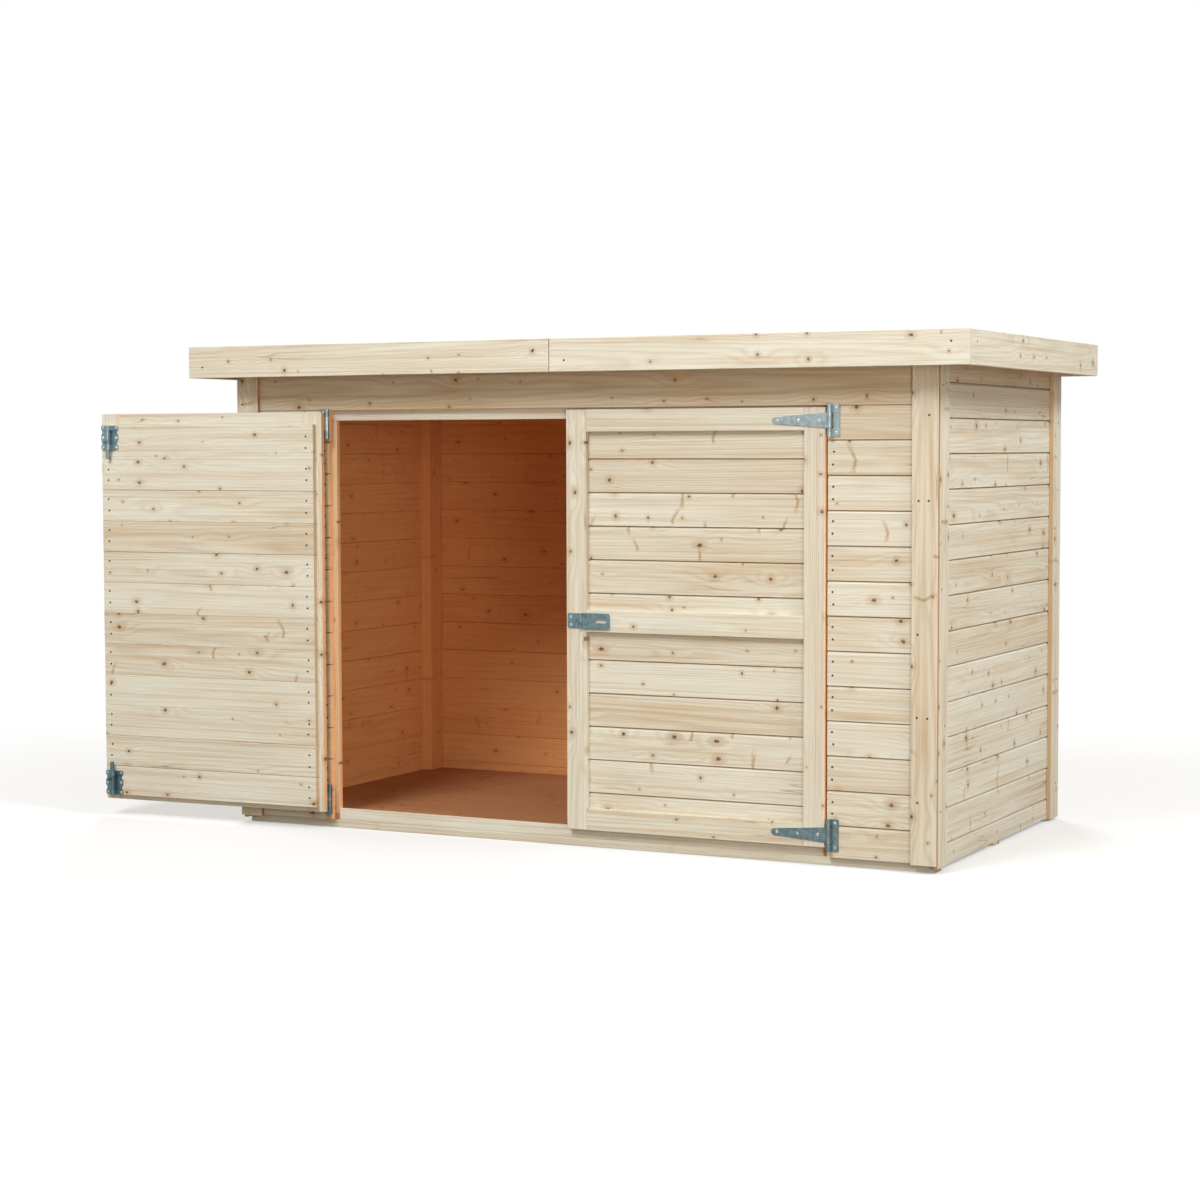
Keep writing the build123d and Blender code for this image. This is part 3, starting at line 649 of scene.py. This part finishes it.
def mark_grain(bm, axes, rng, tone=None):
    """Gives a board its own place in the trunk and its own tint, from pale to tan."""
    grain = bm.verts.layers.float_vector.new("grain")
    tint = bm.verts.layers.float.new("tint")
    start = rng.uniform(0, GRAIN_OFFSET)
    side = rng.uniform(-PITH_SIDE, PITH_SIDE)
    behind = rng.uniform(PITH_NEAR, PITH_FAR)
    drawn = rng.random()
    shown = BOARD_TINTS[0] + (BOARD_TINTS[1] - BOARD_TINTS[0]) * drawn if tone is None else tone
    middle = [sum(size_along(bm, axis)) / 2 for axis in axes]
    for vert in bm.verts:
        a, b, c = (vert.co.dot(axis) - centre for axis, centre in zip(axes, middle))
        vert[grain] = (a + start, b + side, c + behind)
        vert[tint] = shown


def mark_faces(bm, axes, sheltered=(), doorway=(), end_finish=EDGE_AND_SHADE, edge_finish=FACE, face_finish=FACE):
    """Sets the finish of each face. A shade way gives the inner half of a board on that side the painted
    shade of the inside. A doorway is a way, the place beyond which faces that look that way get painted warm
    bounce light, and whether the others there get the edge finish as painted warm shade."""
    along, across = axes[:2]
    inner = [(way, sum(size_along(bm, way)) / 2 + INNER_HALF) for way in sheltered]
    bm.normal_update()
    for face in bm.faces:
        middle = face.calc_center_median()
        bounce_reach = [(way, every) for way, place, every in doorway if middle.dot(way) > place]
        # Faces beyond the place that look that way get painted warm bounce light
        if any(face.normal.dot(way) > SQUARE for way, every in bounce_reach):
            face.material_index = PAINTED_BOUNCE
        # The other faces there get the edge finish as painted warm shade
        elif any(every for way, every in bounce_reach):
            face.material_index = EDGE_AND_SHADE
        elif abs(face.normal.dot(along)) > SQUARE:
            face.material_index = end_finish
        # The inner half on a shade way gets the painted shade of the inside
        elif any(middle.dot(way) > place for way, place in inner):
            face.material_index = PAINTED_INSIDE_SHADE
        elif abs(face.normal.dot(across)) > SQUARE:
            face.material_index = edge_finish
        else:
            face.material_index = face_finish


def skin(bm, rings):
    """Joins rings of corners with faces, each ring to the next."""
    for first, second in zip(rings, rings[1:]):
        for i in range(len(first)):
            j = (i + 1) % len(first)
            bm.faces.new((first[i], first[j], second[j], second[i]))


def plank(section, ends, axes, origin):
    """A board with the given section of (across, depth) points, from one end to the other."""
    along, across, depth = axes
    bm = bmesh.new()
    middle = [sum(values) / len(section) for values in zip(*section)]
    shrunk = [
        tuple(v - math.copysign(END_ARRIS, v - m) for v, m in zip(point, middle))
        for point in section
    ]
    stations = (
        (ends[0], shrunk),
        (ends[0] + END_ARRIS, section),
        (ends[1] - END_ARRIS, section),
        (ends[1], shrunk),
    )
    rings = []
    for place, points in stations:
        rings.append([bm.verts.new(origin + along * place + across * u + depth * v) for u, v in points])
    skin(bm, rings)
    bm.faces.new(rings[0][::-1])
    bm.faces.new(rings[-1])
    bmesh.ops.recalc_face_normals(bm, faces=bm.faces)
    return bm


def joined_section(height, thick, proud, inner_gap):
    """A tongued and grooved board: a gap under it, a chamfer at its upper edge and a plain inner face."""
    return [
        (inner_gap, thick - INNER_ARRIS),
        (inner_gap, JOINT_DEPTH + INNER_GAP),
        (0, JOINT_DEPTH + INNER_GAP),
        (0, JOINT_DEPTH),
        (JOINT_GAP, JOINT_DEPTH),
        (JOINT_GAP, JOINT_LIP - proud),
        (JOINT_GAP + JOINT_LIP, -proud),
        (height - CHAMFER_RISE, -proud),
        (height, CHAMFER_DEPTH - proud),
        (height, thick - INNER_ARRIS),
        (height - INNER_ARRIS, thick),
        (inner_gap + INNER_ARRIS, thick),
    ]


def append(target, bm):
    """Adds a board's mesh to a piece's mesh."""
    mesh = bpy.data.meshes.new("board")
    bm.to_mesh(mesh)
    bm.free()
    target.from_mesh(mesh)
    bpy.data.meshes.remove(mesh)


def new_piece(name, bm, body, materials, replaced):
    mesh = bpy.data.meshes.new(name)
    bm.to_mesh(mesh)
    bm.free()
    for material in materials:
        mesh.materials.append(material)
    piece = bpy.data.objects.new(name, mesh)
    bpy.context.scene.collection.objects.link(piece)
    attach(piece, body)
    if replaced:
        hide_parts(replaced)
    return piece


def node_mesh(node, turn=STILL):
    """A node's welded mesh, turned back to the place where it lies square to the axes."""
    bm = bmesh.new()
    bm.from_mesh(frame["nodes"][node].data)
    bmesh.ops.remove_doubles(bm, verts=bm.verts, dist=WELD)
    bmesh.ops.dissolve_limit(bm, angle_limit=FLAT_ANGLE, verts=bm.verts, edges=bm.edges)
    bm.transform(turn.inverted())
    return bm


def node_box(node, turn=STILL):
    bm = node_mesh(node, turn)
    box = box_of(bm)
    bm.free()
    return box


def solids(bm):
    """Splits a mesh into its separate solids."""
    left = set(bm.verts)
    groups = []
    while left:
        stack = [left.pop()]
        group = set(stack)
        while stack:
            for edge in stack.pop().link_edges:
                for vert in edge.verts:
                    if vert in left:
                        left.remove(vert)
                        group.add(vert)
                        stack.append(vert)
        groups.append({vert.index for vert in group})
    parts = []
    for group in groups:
        part = bm.copy()
        part.verts.ensure_lookup_table()
        others = [vert for vert in part.verts if vert.index not in group]
        bmesh.ops.delete(part, geom=others, context="VERTS")
        parts.append(part)
    bm.free()
    parts.sort(key=lambda part: [round(value, ORDER_DIGITS) for value in box_of(part)[0]])
    return parts


def timber_axes(bm):
    """A timber's axes: along its grain, across its face and through its thickness."""
    low, high = box_of(bm)
    order = sorted(range(3), key=lambda i: high[i] - low[i], reverse=True)
    return [AXES[i] for i in order]


def round_arrises(bm, width):
    bmesh.ops.bevel(
        bm,
        geom=bm.verts[:] + bm.edges[:],
        offset=width,
        offset_type="OFFSET",
        segments=ARRIS_STEPS,
        profile=0.5,
        affect="EDGES",
        clamp_overlap=True,
    )


def sink(bm, way, depth):
    """Moves the outermost face of a timber in."""
    top = size_along(bm, way)[1]
    for vert in bm.verts:
        if vert.co.dot(way) > top - WELD:
            vert.co -= way * depth


def timbers(node, body="shed", turn=STILL, sunk=(), **finish):
    """Makes each solid of a node as a planed timber with softened edges. Its sunk faces move in, to make
    room for nail heads inside the outline or to open a joint."""
    rng = random.Random(node)
    bm = bmesh.new()
    for part in solids(node_mesh(node, turn)):
        axes = timber_axes(part)
        for way, depth in sunk:
            sink(part, way, depth)
        round_arrises(part, TIMBER_ARRIS)
        mark_grain(part, axes, rng, TONES.get(node))
        mark_faces(part, axes, **finish)
        append(bm, part)
    bm.transform(turn)
    return new_piece(node + "_timber", bm, body, WOOD, node)


def joints_between(low, high, joint, cover):
    """Heights of the joints, from the last one under a wall's foot up to its top."""
    first = joint + math.floor((low - joint) / cover) * cover
    count = math.ceil((high - first) / cover)
    return [first + i * cover for i in range(count)]


def mark_grooves(bm, face, depths, heights):
    """Gives the faces inside a board's joints a darker finish, as painted shade in the joints."""
    for side in bm.faces:
        middle = side.calc_center_median()
        within = depths[0] < -middle.dot(face) < depths[1] and heights[0] < middle.z < heights[1]
        if within and max(abs(side.normal.z), abs(side.normal.dot(face))) > SQUARE:
            side.material_index = PAINTED_GROOVE_SHADE


def split_at(bm, point, normal):
    geometry = bm.verts[:] + bm.edges[:] + bm.faces[:]
    bmesh.ops.bisect_plane(bm, geom=geometry, dist=WELD, plane_co=point, plane_no=normal)


def boarded(node, face, joint, cover, body="shed", turn=STILL, planes=(), doorway=(), **finish):
    """A wall or leaf of level boards, with their joints on the side that faces out."""
    rng = random.Random(node)
    low, high = node_box(node, turn)
    along = Z_AXIS.cross(face)
    axes = (along, Z_AXIS, -face)
    thick = abs((high - low).dot(face))
    corners = (low.dot(along), high.dot(along))
    ends = (min(corners), max(corners))
    outside = max(low.dot(face), high.dot(face))
    depths = (JOINT_LIP - outside, thick - INNER_ARRIS - outside)
    bm = bmesh.new()
    for level in joints_between(low.z, high.z, joint, cover):
        section = joined_section(cover, thick, rng.uniform(-BOARD_PROUD, 0), rng.uniform(0, INNER_GAP))
        span = (ends[0] + rng.uniform(0, BOARD_SHORT), ends[1] - rng.uniform(0, BOARD_SHORT))
        board = plank(section, span, axes, face * outside + Z_AXIS * level)
        mark_grain(board, axes, rng)
        cut(board, Vector((0, 0, low.z)), -Z_AXIS)
        cut(board, Vector((0, 0, high.z)), Z_AXIS)
        for point, normal in planes:
            cut(board, point, normal)
        for way, place, _ in doorway:
            split_at(board, way * place, way)
        if board.faces:
            mark_faces(board, axes, doorway=doorway, **finish)
            mark_grooves(board, face, depths, (low.z + WELD, high.z - WELD))
            append(bm, board)
        else:
            board.free()
    bm.transform(turn)
    return new_piece(node + "_planks", bm, body, WOOD, node)


def sliced(node, axis, cover, **finish):
    """A deck cut into boards that lie side by side along an axis."""
    rng = random.Random(node)
    whole = node_mesh(node)
    low, high = size_along(whole, axis)
    count = math.ceil((high - low) / cover)
    bm = bmesh.new()
    for i in range(count):
        board = whole.copy()
        cut(board, axis * (low + i * cover), -axis)
        cut(board, axis * min(high, low + (i + 1) * cover), axis)
        axes = timber_axes(board)
        round_arrises(board, INNER_ARRIS)
        mark_grain(board, axes, rng)
        mark_faces(board, axes, **finish)
        append(bm, board)
    whole.free()
    return new_piece(node + "_planks", bm, "shed", WOOD, node)


def sloping_planes(node):
    """The planes of a node's faces that lean, such as a wall's top under the sloping roof."""
    bm = node_mesh(node)
    bm.normal_update()
    planes = [
        (face.calc_center_median().copy(), face.normal.copy())
        for face in bm.faces
        if max(abs(value) for value in face.normal) < LEVEL
    ]
    bm.free()
    return planes


def build_walls():
    door_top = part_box("front_top_board")[0].z
    # How far from the doorway's edge the front boards get painted warm bounce light and shade
    bounce_reach = {"left": BOUNCE_STRIP, "right": END_ARRIS}
    outward = {"left": -X_AXIS, "right": X_AXIS}
    # Shade ways give the boards' inner halves the painted inside shade; doorways give faces there painted warm
    # bounce light
    for side, face in outward.items():
        node = "front_panel_" + side
        edge = max(corner.dot(-face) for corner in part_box(node))
        doorway = [(-face, edge - BOARD_SHORT - bounce_reach[side], side == "left")]
        boarded(node, -Y_AXIS, door_top, FRONT_COVER, sheltered=(Y_AXIS,), doorway=doorway)
        node = "side_panel_" + side
        boarded(node, face, SIDE_JOINT, SIDE_COVER, planes=sloping_planes(node), sheltered=(-face,))
    boarded("rear_panel", Y_AXIS, SIDE_JOINT, SIDE_COVER, sheltered=(-Y_AXIS,))
    # The board over the doors: painted inside shade on its inner half and painted warm bounce light on its top and
    # bottom faces
    timbers("front_top_board", sheltered=(Y_AXIS,), edge_finish=PAINTED_BOUNCE)
    # The corner posts inside get the painted inside shade all round
    timbers("corner_posts", face_finish=PAINTED_INSIDE_SHADE, edge_finish=PAINTED_INSIDE_SHADE)
    # The door posts: painted warm bounce light on the faces that look into the doorway, and the edge finish on
    # their fronts as painted warm shade
    doorway = [(X_AXIS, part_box("door_posts")[0].x, False)]
    timbers("door_posts", sheltered=(Y_AXIS,), doorway=doorway, face_finish=EDGE_AND_SHADE)
    timbers("door_head", sheltered=(Y_AXIS,))
    for node, way in TRIM_WAYS.items():
        # The front trims' edges get the painted groove shade as a shadow line; the other trims' edges the edge
        # finish as painted warm shade
        edge = PAINTED_GROOVE_SHADE if node == "front_trims" else EDGE_AND_SHADE
        timbers(node, sunk=[(way, NAIL_PROUD)], edge_finish=edge)


def build_base():
    for node in ("bearer_front", "bearer_middle", "bearer_rear"):
        timbers(node)
    # The sill's inner half gets the painted inside shade
    timbers("door_sill", sheltered=(Y_AXIS,))
    # The floor boards get the painted shade of the inside floor
    sliced("floor_deck", Y_AXIS, FLOOR_COVER, face_finish=PAINTED_FLOOR_SHADE, edge_finish=PAINTED_FLOOR_SHADE)


def build_roof():
    meeting = {"fascia_front_left": [(X_AXIS, FASCIA_GAP)], "fascia_front_right": [(-X_AXIS, FASCIA_GAP)]}
    for node, way in FASCIA_WAYS.items():
        timbers(node, sunk=[(way, NAIL_PROUD)] + meeting.get(node, []), end_finish=FACE)
    # The rafters under the roof get the painted inside shade all round
    timbers("roof_rafters", face_finish=PAINTED_INSIDE_SHADE, edge_finish=PAINTED_INSIDE_SHADE)
    # The roof boards' undersides get painted warm bounce light
    underside = [(-Z_AXIS, -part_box("roof_deck")[1].z, False)]
    sliced("roof_deck", Y_AXIS, ROOF_COVER, doorway=underside)
    build_felt()


def felt_plane():
    """A point on the felt's upper face, and the way that this face looks."""
    return next((point, normal) for point, normal in sloping_planes("roof_felt") if normal.z > SQUARE)


def height_on(plane, y):
    """The height of a plane that slopes from the front to the back."""
    point, normal = plane
    return point.z - normal.y * (y - point.y) / normal.z


def build_felt():
    """Felt in strips along the roof, each lapped over the one below it, with slightly wavy edges."""
    low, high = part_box("roof_felt")
    rng = random.Random("felt")
    plane = felt_plane()
    strip = (high.y - low.y + (FELT_STRIPS - 1) * FELT_LAP) / FELT_STRIPS
    bm = bmesh.new()
    columns = math.ceil((high.x - low.x) / FELT_CELL)
    rows = math.ceil(strip / FELT_CELL)
    for i in range(FELT_STRIPS):
        start = high.y - strip - i * (strip - FELT_LAP)
        grid = []
        for r in range(rows + 1):
            line = []
            for c in range(columns + 1):
                x = low.x + (high.x - low.x) * c / columns
                y = start + strip * r / rows
                if i and r == rows:
                    y += rng.uniform(-FELT_WAVE, FELT_WAVE)
                z = height_on(plane, y) + i * FELT_STEP + rng.uniform(0, FELT_WAVE)
                line.append(bm.verts.new((x, y, z)))
            grid.append(line)
        for r in range(rows):
            for c in range(columns):
                bm.faces.new((grid[r][c], grid[r][c + 1], grid[r + 1][c + 1], grid[r + 1][c]))
        rim = [edge for edge in bm.edges if edge.is_boundary]
        for item in bmesh.ops.extrude_edge_only(bm, edges=rim)["geom"]:
            if isinstance(item, bmesh.types.BMVert):
                item.co.z -= FELT_STEP
    piece = new_piece("roof_felt_strips", bm, "shed", [FELT], "roof_felt")
    for polygon in piece.data.polygons:
        polygon.use_smooth = True


def build_leaves():
    for side, turn in (("left", LEFT_TURN), ("right", STILL)):
        body = side + "_leaf"
        boarded(side + "_door_boards", -Y_AXIS, DOOR_JOINT, DOOR_COVER, body, turn)
        stiles = side + "_door_stiles"
        hinge_way = -X_AXIS if side == "left" else X_AXIS
        # The stiles' hinge edges get painted warm bounce light
        edge = max(corner.dot(hinge_way) for corner in node_box(stiles, turn)) - TIMBER_ARRIS
        timbers(stiles, body, turn, doorway=[(hinge_way, edge, False)])
        timbers(side + "_door_rails", body, turn)


def head_of_nail(bm, place, normal, radius, proud):
    """A low domed head."""
    turn = normal.to_track_quat("Z", "Y").to_matrix()
    rings = []
    for share, height_share in NAIL_PROFILE_SHARES:
        ring = []
        for i in range(NAIL_SIDES):
            angle = math.tau * i / NAIL_SIDES
            x = math.cos(angle) * radius * share
            y = math.sin(angle) * radius * share
            ring.append(bm.verts.new(place + turn @ Vector((x, y, proud * height_share))))
        rings.append(ring)
    skin(bm, rings)
    bm.faces.new(rings[-1])


def nailed(name, body, turn, spots, radius=NAIL_RADIUS, proud=NAIL_PROUD):
    """All the nail heads of one group as one mesh. A spot is a place and the way that it faces."""
    bm = bmesh.new()
    for place, normal in spots:
        head_of_nail(bm, place, normal, radius, proud)
    bm.transform(turn)
    return new_piece(name, bm, body, [NAIL_STEEL], None)


def board_nails(node, face, joint, cover, columns, turn=STILL):
    """Two nails in each board at each of the given places along the wall."""
    rng = random.Random(node + "_nails")
    low, high = node_box(node, turn)
    outside = max(low.dot(face), high.dot(face))
    spots = []
    for level in joints_between(low.z, high.z, joint, cover):
        for column in columns:
            for share in NAIL_SHARES:
                z = level + share * cover + rng.uniform(-NAIL_WANDER, NAIL_WANDER)
                x = column + rng.uniform(-NAIL_WANDER, NAIL_WANDER)
                if low.z + NAIL_RADIUS * 2 < z < high.z - NAIL_RADIUS * 2:
                    spots.append((face * outside + X_AXIS * x + Z_AXIS * z, face))
    return spots


def build_nails():
    door_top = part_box("front_top_board")[0].z
    for side, sign in (("left", -1), ("right", 1)):
        panel = node_box("front_panel_" + side)
        edge = min(abs(panel[0].x), abs(panel[1].x))
        column = sign * (edge + PANEL_NAIL_INSET)
        spots = board_nails("front_panel_" + side, -Y_AXIS, door_top, FRONT_COVER, [column])
        nailed("front_nails_" + side, "shed", STILL, spots)
        turn = LEFT_TURN if sign < 0 else STILL
        node = side + "_door_boards"
        low, high = node_box(node, turn)
        columns = (low.x + LEAF_NAIL_INSET, high.x - LEAF_NAIL_INSET)
        spots = board_nails(node, Y_AXIS, DOOR_JOINT, DOOR_COVER, columns, turn)
        nailed(side + "_leaf_nails", side + "_leaf", turn, spots)
    nailed("trim_nails", "shed", STILL, trim_nails())
    nailed("fascia_nails", "shed", STILL, fascia_nails())


def trim_nails():
    """Nails up each corner trim, one or two in a row."""
    rng = random.Random("trim_nails")
    spots = []
    for node, face in TRIM_WAYS.items():
        across = Z_AXIS.cross(face)
        for part in solids(node_mesh(node)):
            z_low, z_high = size_along(part, Z_AXIS)
            side_low, side_high = size_along(part, across)
            outside = size_along(part, face)[1] - NAIL_PROUD
            part.free()
            for i in range(TRIM_NAIL_ROWS):
                level = z_low + (z_high - z_low) * (i + rng.uniform(*TRIM_NAIL_ROW_SHARES)) / TRIM_NAIL_ROWS
                for share in rng.sample(TRIM_NAIL_SHARES, rng.choice((1, 2))):
                    u = side_low + (side_high - side_low) * share + rng.uniform(-NAIL_WANDER, NAIL_WANDER)
                    z = level + rng.uniform(-NAIL_WANDER, NAIL_WANDER)
                    spots.append((face * outside + across * u + Z_AXIS * z, face))
    return spots


def fascia_nails():
    """Nails at the ends of the fascia boards."""
    rng = random.Random("fascia_nails")
    spots = []
    for node, face in FASCIA_WAYS.items():
        low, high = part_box(node)
        along = Y_AXIS if face.x else X_AXIS
        outside = max(low.dot(face), high.dot(face)) - NAIL_PROUD
        start, end = low.dot(along), high.dot(along)
        for place in (start + FASCIA_NAIL_INSET, end - FASCIA_NAIL_INSET):
            z = low.z + (high.z - low.z) * rng.choice(FASCIA_NAIL_SHARES)
            u = place + rng.uniform(-NAIL_WANDER, NAIL_WANDER)
            spots.append((face * outside + along * u + Z_AXIS * z, face))
    return spots


def half_head(bm, place, turn, proud):
    """Half of a screw's round head, beside its slot."""
    edge = math.asin(SCREW_SLOT / 2 / SCREW_RADIUS)
    angles = [edge + (math.pi - 2 * edge) * i / SCREW_STEPS for i in range(SCREW_STEPS + 1)]
    rings = []
    for share, height_share in SCREW_PROFILE_SHARES:
        ring = []
        for angle in angles:
            x = math.cos(angle) * SCREW_RADIUS * share
            y = max(SCREW_SLOT / 2, math.sin(angle) * SCREW_RADIUS * share)
            ring.append(bm.verts.new(place + turn @ Vector((x, y, proud * height_share))))
        rings.append(ring)
    skin(bm, rings)
    bm.faces.new(rings[-1])


def screwed(name, body, turn, spots, proud=SCREW_PROUD):
    """All the slotted screw heads of one group as one mesh. A spot is a place and the way that it faces."""
    rng = random.Random(name)
    bm = bmesh.new()
    for place, normal in spots:
        square = normal.to_track_quat("Z", "Y").to_matrix()
        angle = rng.uniform(0, math.pi)
        for half in (0, math.pi):
            half_head(bm, place, square @ Matrix.Rotation(angle + half, 3, "Z"), proud)
    bm.transform(turn)
    return new_piece(name, bm, body, [SCREW_STEEL], None)


def solid_boxes(node, turn=STILL):
    """The lowest and highest corner of each solid of a node."""
    boxes = []
    for part in solids(node_mesh(node, turn)):
        boxes.append(box_of(part))
        part.free()
    return boxes


def strap_screws(side, turn, way):
    """Screws along the tapered straps."""
    pin = door_hinge(side)["pos_m"][0]
    face = node_box(side + "_door_stiles", turn)[0].y - STRAP_METAL
    spots = []
    for low, high in solid_boxes(side + "_hinge_straps", turn):
        for reach in STRAP_SCREWS:
            spots.append((Vector((pin - way * reach, face, (low.z + high.z) / 2)), -Y_AXIS))
    return spots


def plate_screws(side, way):
    """Screws at the ends of the hinges' wall plates."""
    face = node_box("front_panel_" + side)[0].y - STRAP_METAL
    spots = []
    for low, high in solid_boxes(side + "_hinge_plates"):
        edge = high.x if way > 0 else low.x
        for share in PLATE_SCREW_SHARES:
            z = low.z + (high.z - low.z) * share
            spots.append((Vector((edge - way * PLATE_SCREW_INSET, face, z)), -Y_AXIS))
    return spots


def hasp_screws():
    """Screws in the fixed leaf of the hasp."""
    low, high = node_box("hasp_leaf")
    face = node_box("right_door_stiles")[0].y - HASP_METAL
    heights = [low.z + (high.z - low.z) * share for share in HASP_SCREW_SHARES]
    return [(Vector((low.x + HASP_SCREW_INSET, face, z)), -Y_AXIS) for z in heights]


def bolt_screws():
    """Screws down both sides of the bolts' housings."""
    face = node_box("left_door_boards", LEFT_TURN)[1].y + BOLT_METAL
    spots = []
    for low, high in solid_boxes("bolt_housings", LEFT_TURN):
        for x in (low.x + BOLT_SCREW_INSET, high.x - BOLT_SCREW_INSET):
            for z in (low.z + BOLT_SCREW_INSET, (low.z + high.z) / 2, high.z - BOLT_SCREW_INSET):
                spots.append((Vector((x, face, z)), Y_AXIS))
    return spots


def build_screws():
    for side, turn, way in (("left", LEFT_TURN, -1), ("right", STILL, 1)):
        screwed(side + "_strap_screws", side + "_leaf", turn, strap_screws(side, turn, way))
        screwed(side + "_plate_screws", "shed", STILL, plate_screws(side, way))
    screwed("hasp_screws", "right_leaf", STILL, hasp_screws(), FLAT_SCREW_PROUD)
    screwed("bolt_screws", "left_leaf", LEFT_TURN, bolt_screws())


def build_clouts():
    """Clout nails along the front and the sides of the felt."""
    low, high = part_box("roof_felt")
    plane = felt_plane()
    across = math.floor((high.x - low.x - 2 * CLOUT_INSET) / CLOUT_SPACING)
    down = math.floor((high.y - low.y - 2 * CLOUT_INSET) / CLOUT_SPACING)
    places = [(low.x + CLOUT_INSET + CLOUT_SPACING * i, low.y + CLOUT_INSET) for i in range(across + 1)]
    for i in range(1, down + 1):
        y = low.y + CLOUT_INSET + CLOUT_SPACING * i
        places += [(low.x + CLOUT_INSET, y), (high.x - CLOUT_INSET, y)]
    spots = [(Vector((x, y, height_on(plane, y) + FELT_STEP)), plane[1]) for x, y in places]
    nailed("felt_clouts", "shed", STILL, spots, CLOUT_RADIUS, CLOUT_PROUD)


def dress_steel():
    """Gives the steel nodes their finish."""
    for subpart in frame["record"]["subparts"]:
        if subpart["material_slot"] != "galvanised_steel":
            continue
        node = frame["nodes"][subpart["node"]]
        node.data.materials.clear()
        node.data.materials.append(DULL_STEEL if subpart["node"] in DULL_NODES else STEEL)


def seen_ray(n):
    """One for rays that show the background: from the camera, in a reflection or through glass."""
    path = n.add("ShaderNodeLightPath")
    seen = n.math("MAXIMUM", path.outputs["Is Camera Ray"], path.outputs["Is Glossy Ray"])
    return n.math("MAXIMUM", seen, path.outputs["Is Transmission Ray"])


def stage_floor():
    """A pale floor that keeps the shadow and fades to white further off."""
    material = bpy.data.materials.new("floor")
    material.use_nodes = True
    material.node_tree.nodes.clear()
    n = Nodes(material.node_tree)
    seen = seen_ray(n)
    diffuse = n.add("ShaderNodeBsdfDiffuse")
    n.feed(diffuse.inputs["Color"], n.mix(seen, STAGE_BOUNCE, STAGE_WHITE))
    glow = n.add("ShaderNodeEmission")
    glow.inputs["Color"].default_value = (*WHITE, 1)
    place = n.split(n.add("ShaderNodeNewGeometry").outputs["Position"])
    away = length_of(n, place[0], place[1])
    share = n.math("MULTIPLY", n.span(away, STAGE_NEAR, STAGE_FAR, STAGE_NEAR_SHARE, 1.0), seen)
    mixed = n.add("ShaderNodeMixShader")
    n.feed(mixed.inputs[0], share)
    n.feed(mixed.inputs[1], diffuse.outputs[0])
    n.feed(mixed.inputs[2], glow.outputs[0])
    n.feed(n.add("ShaderNodeOutputMaterial").inputs["Surface"], mixed.outputs[0])
    return material


def build_stage():
    mesh = bpy.data.meshes.new("floor")
    corners = [(x * STAGE_REACH, y * STAGE_REACH, 0) for x, y in ((-1, -1), (1, -1), (1, 1), (-1, 1))]
    mesh.from_pydata(corners, [], [(0, 1, 2, 3)])
    mesh.materials.append(stage_floor())
    floor = bpy.data.objects.new("floor", mesh)
    bpy.context.scene.collection.objects.link(floor)


def build_world():
    """Light from all round, which shows as a white background."""
    world = bpy.data.worlds.new("studio")
    bpy.context.scene.world = world
    world.use_nodes = True
    n = Nodes(world.node_tree)
    background = world.node_tree.nodes["Background"]
    seen = seen_ray(n)
    n.feed(background.inputs["Color"], n.mix(seen, SKY_TINT, WHITE))
    n.feed(background.inputs["Strength"], n.span(seen, 0.0, 1.0, SKY_STRENGTH, 1.0))


def soft_lamp(name, place, target, size, power, colour):
    light = bpy.data.lights.new(name, "AREA")
    light.shape = "DISK"
    light.size = size
    light.energy = power
    light.color = colour
    lamp = bpy.data.objects.new(name, light)
    lamp.location = place
    lamp.rotation_euler = (Vector(target) - Vector(place)).to_track_quat("-Z", "Y").to_euler()
    bpy.context.scene.collection.objects.link(lamp)


def build_lights():
    build_world()
    for name, settings in LAMPS.items():
        soft_lamp(name, *settings)


def build_camera():
    data = bpy.data.cameras.new("camera")
    data.sensor_width = SENSOR_MM
    data.lens = SENSOR_MM * FOCAL_PIXELS / PHOTO_PIXELS
    data.clip_end = CAMERA_REACH
    camera = bpy.data.objects.new("camera", data)
    forward = Vector((
        -math.sin(CAMERA_YAW) * math.cos(CAMERA_PITCH),
        math.cos(CAMERA_YAW) * math.cos(CAMERA_PITCH),
        math.sin(CAMERA_PITCH),
    ))
    turn = forward.to_track_quat("-Z", "Y").to_matrix().to_4x4() @ Matrix.Rotation(CAMERA_ROLL, 4, "Z")
    camera.matrix_world = Matrix.Translation(CAMERA_PLACE) @ turn
    bpy.context.scene.collection.objects.link(camera)
    bpy.context.scene.camera = camera


build_base()
build_walls()
build_roof()
build_leaves()
build_nails()
build_screws()
build_clouts()
dress_steel()
build_stage()
build_lights()
build_camera()
bpy.context.scene.view_settings.view_transform = "Standard"
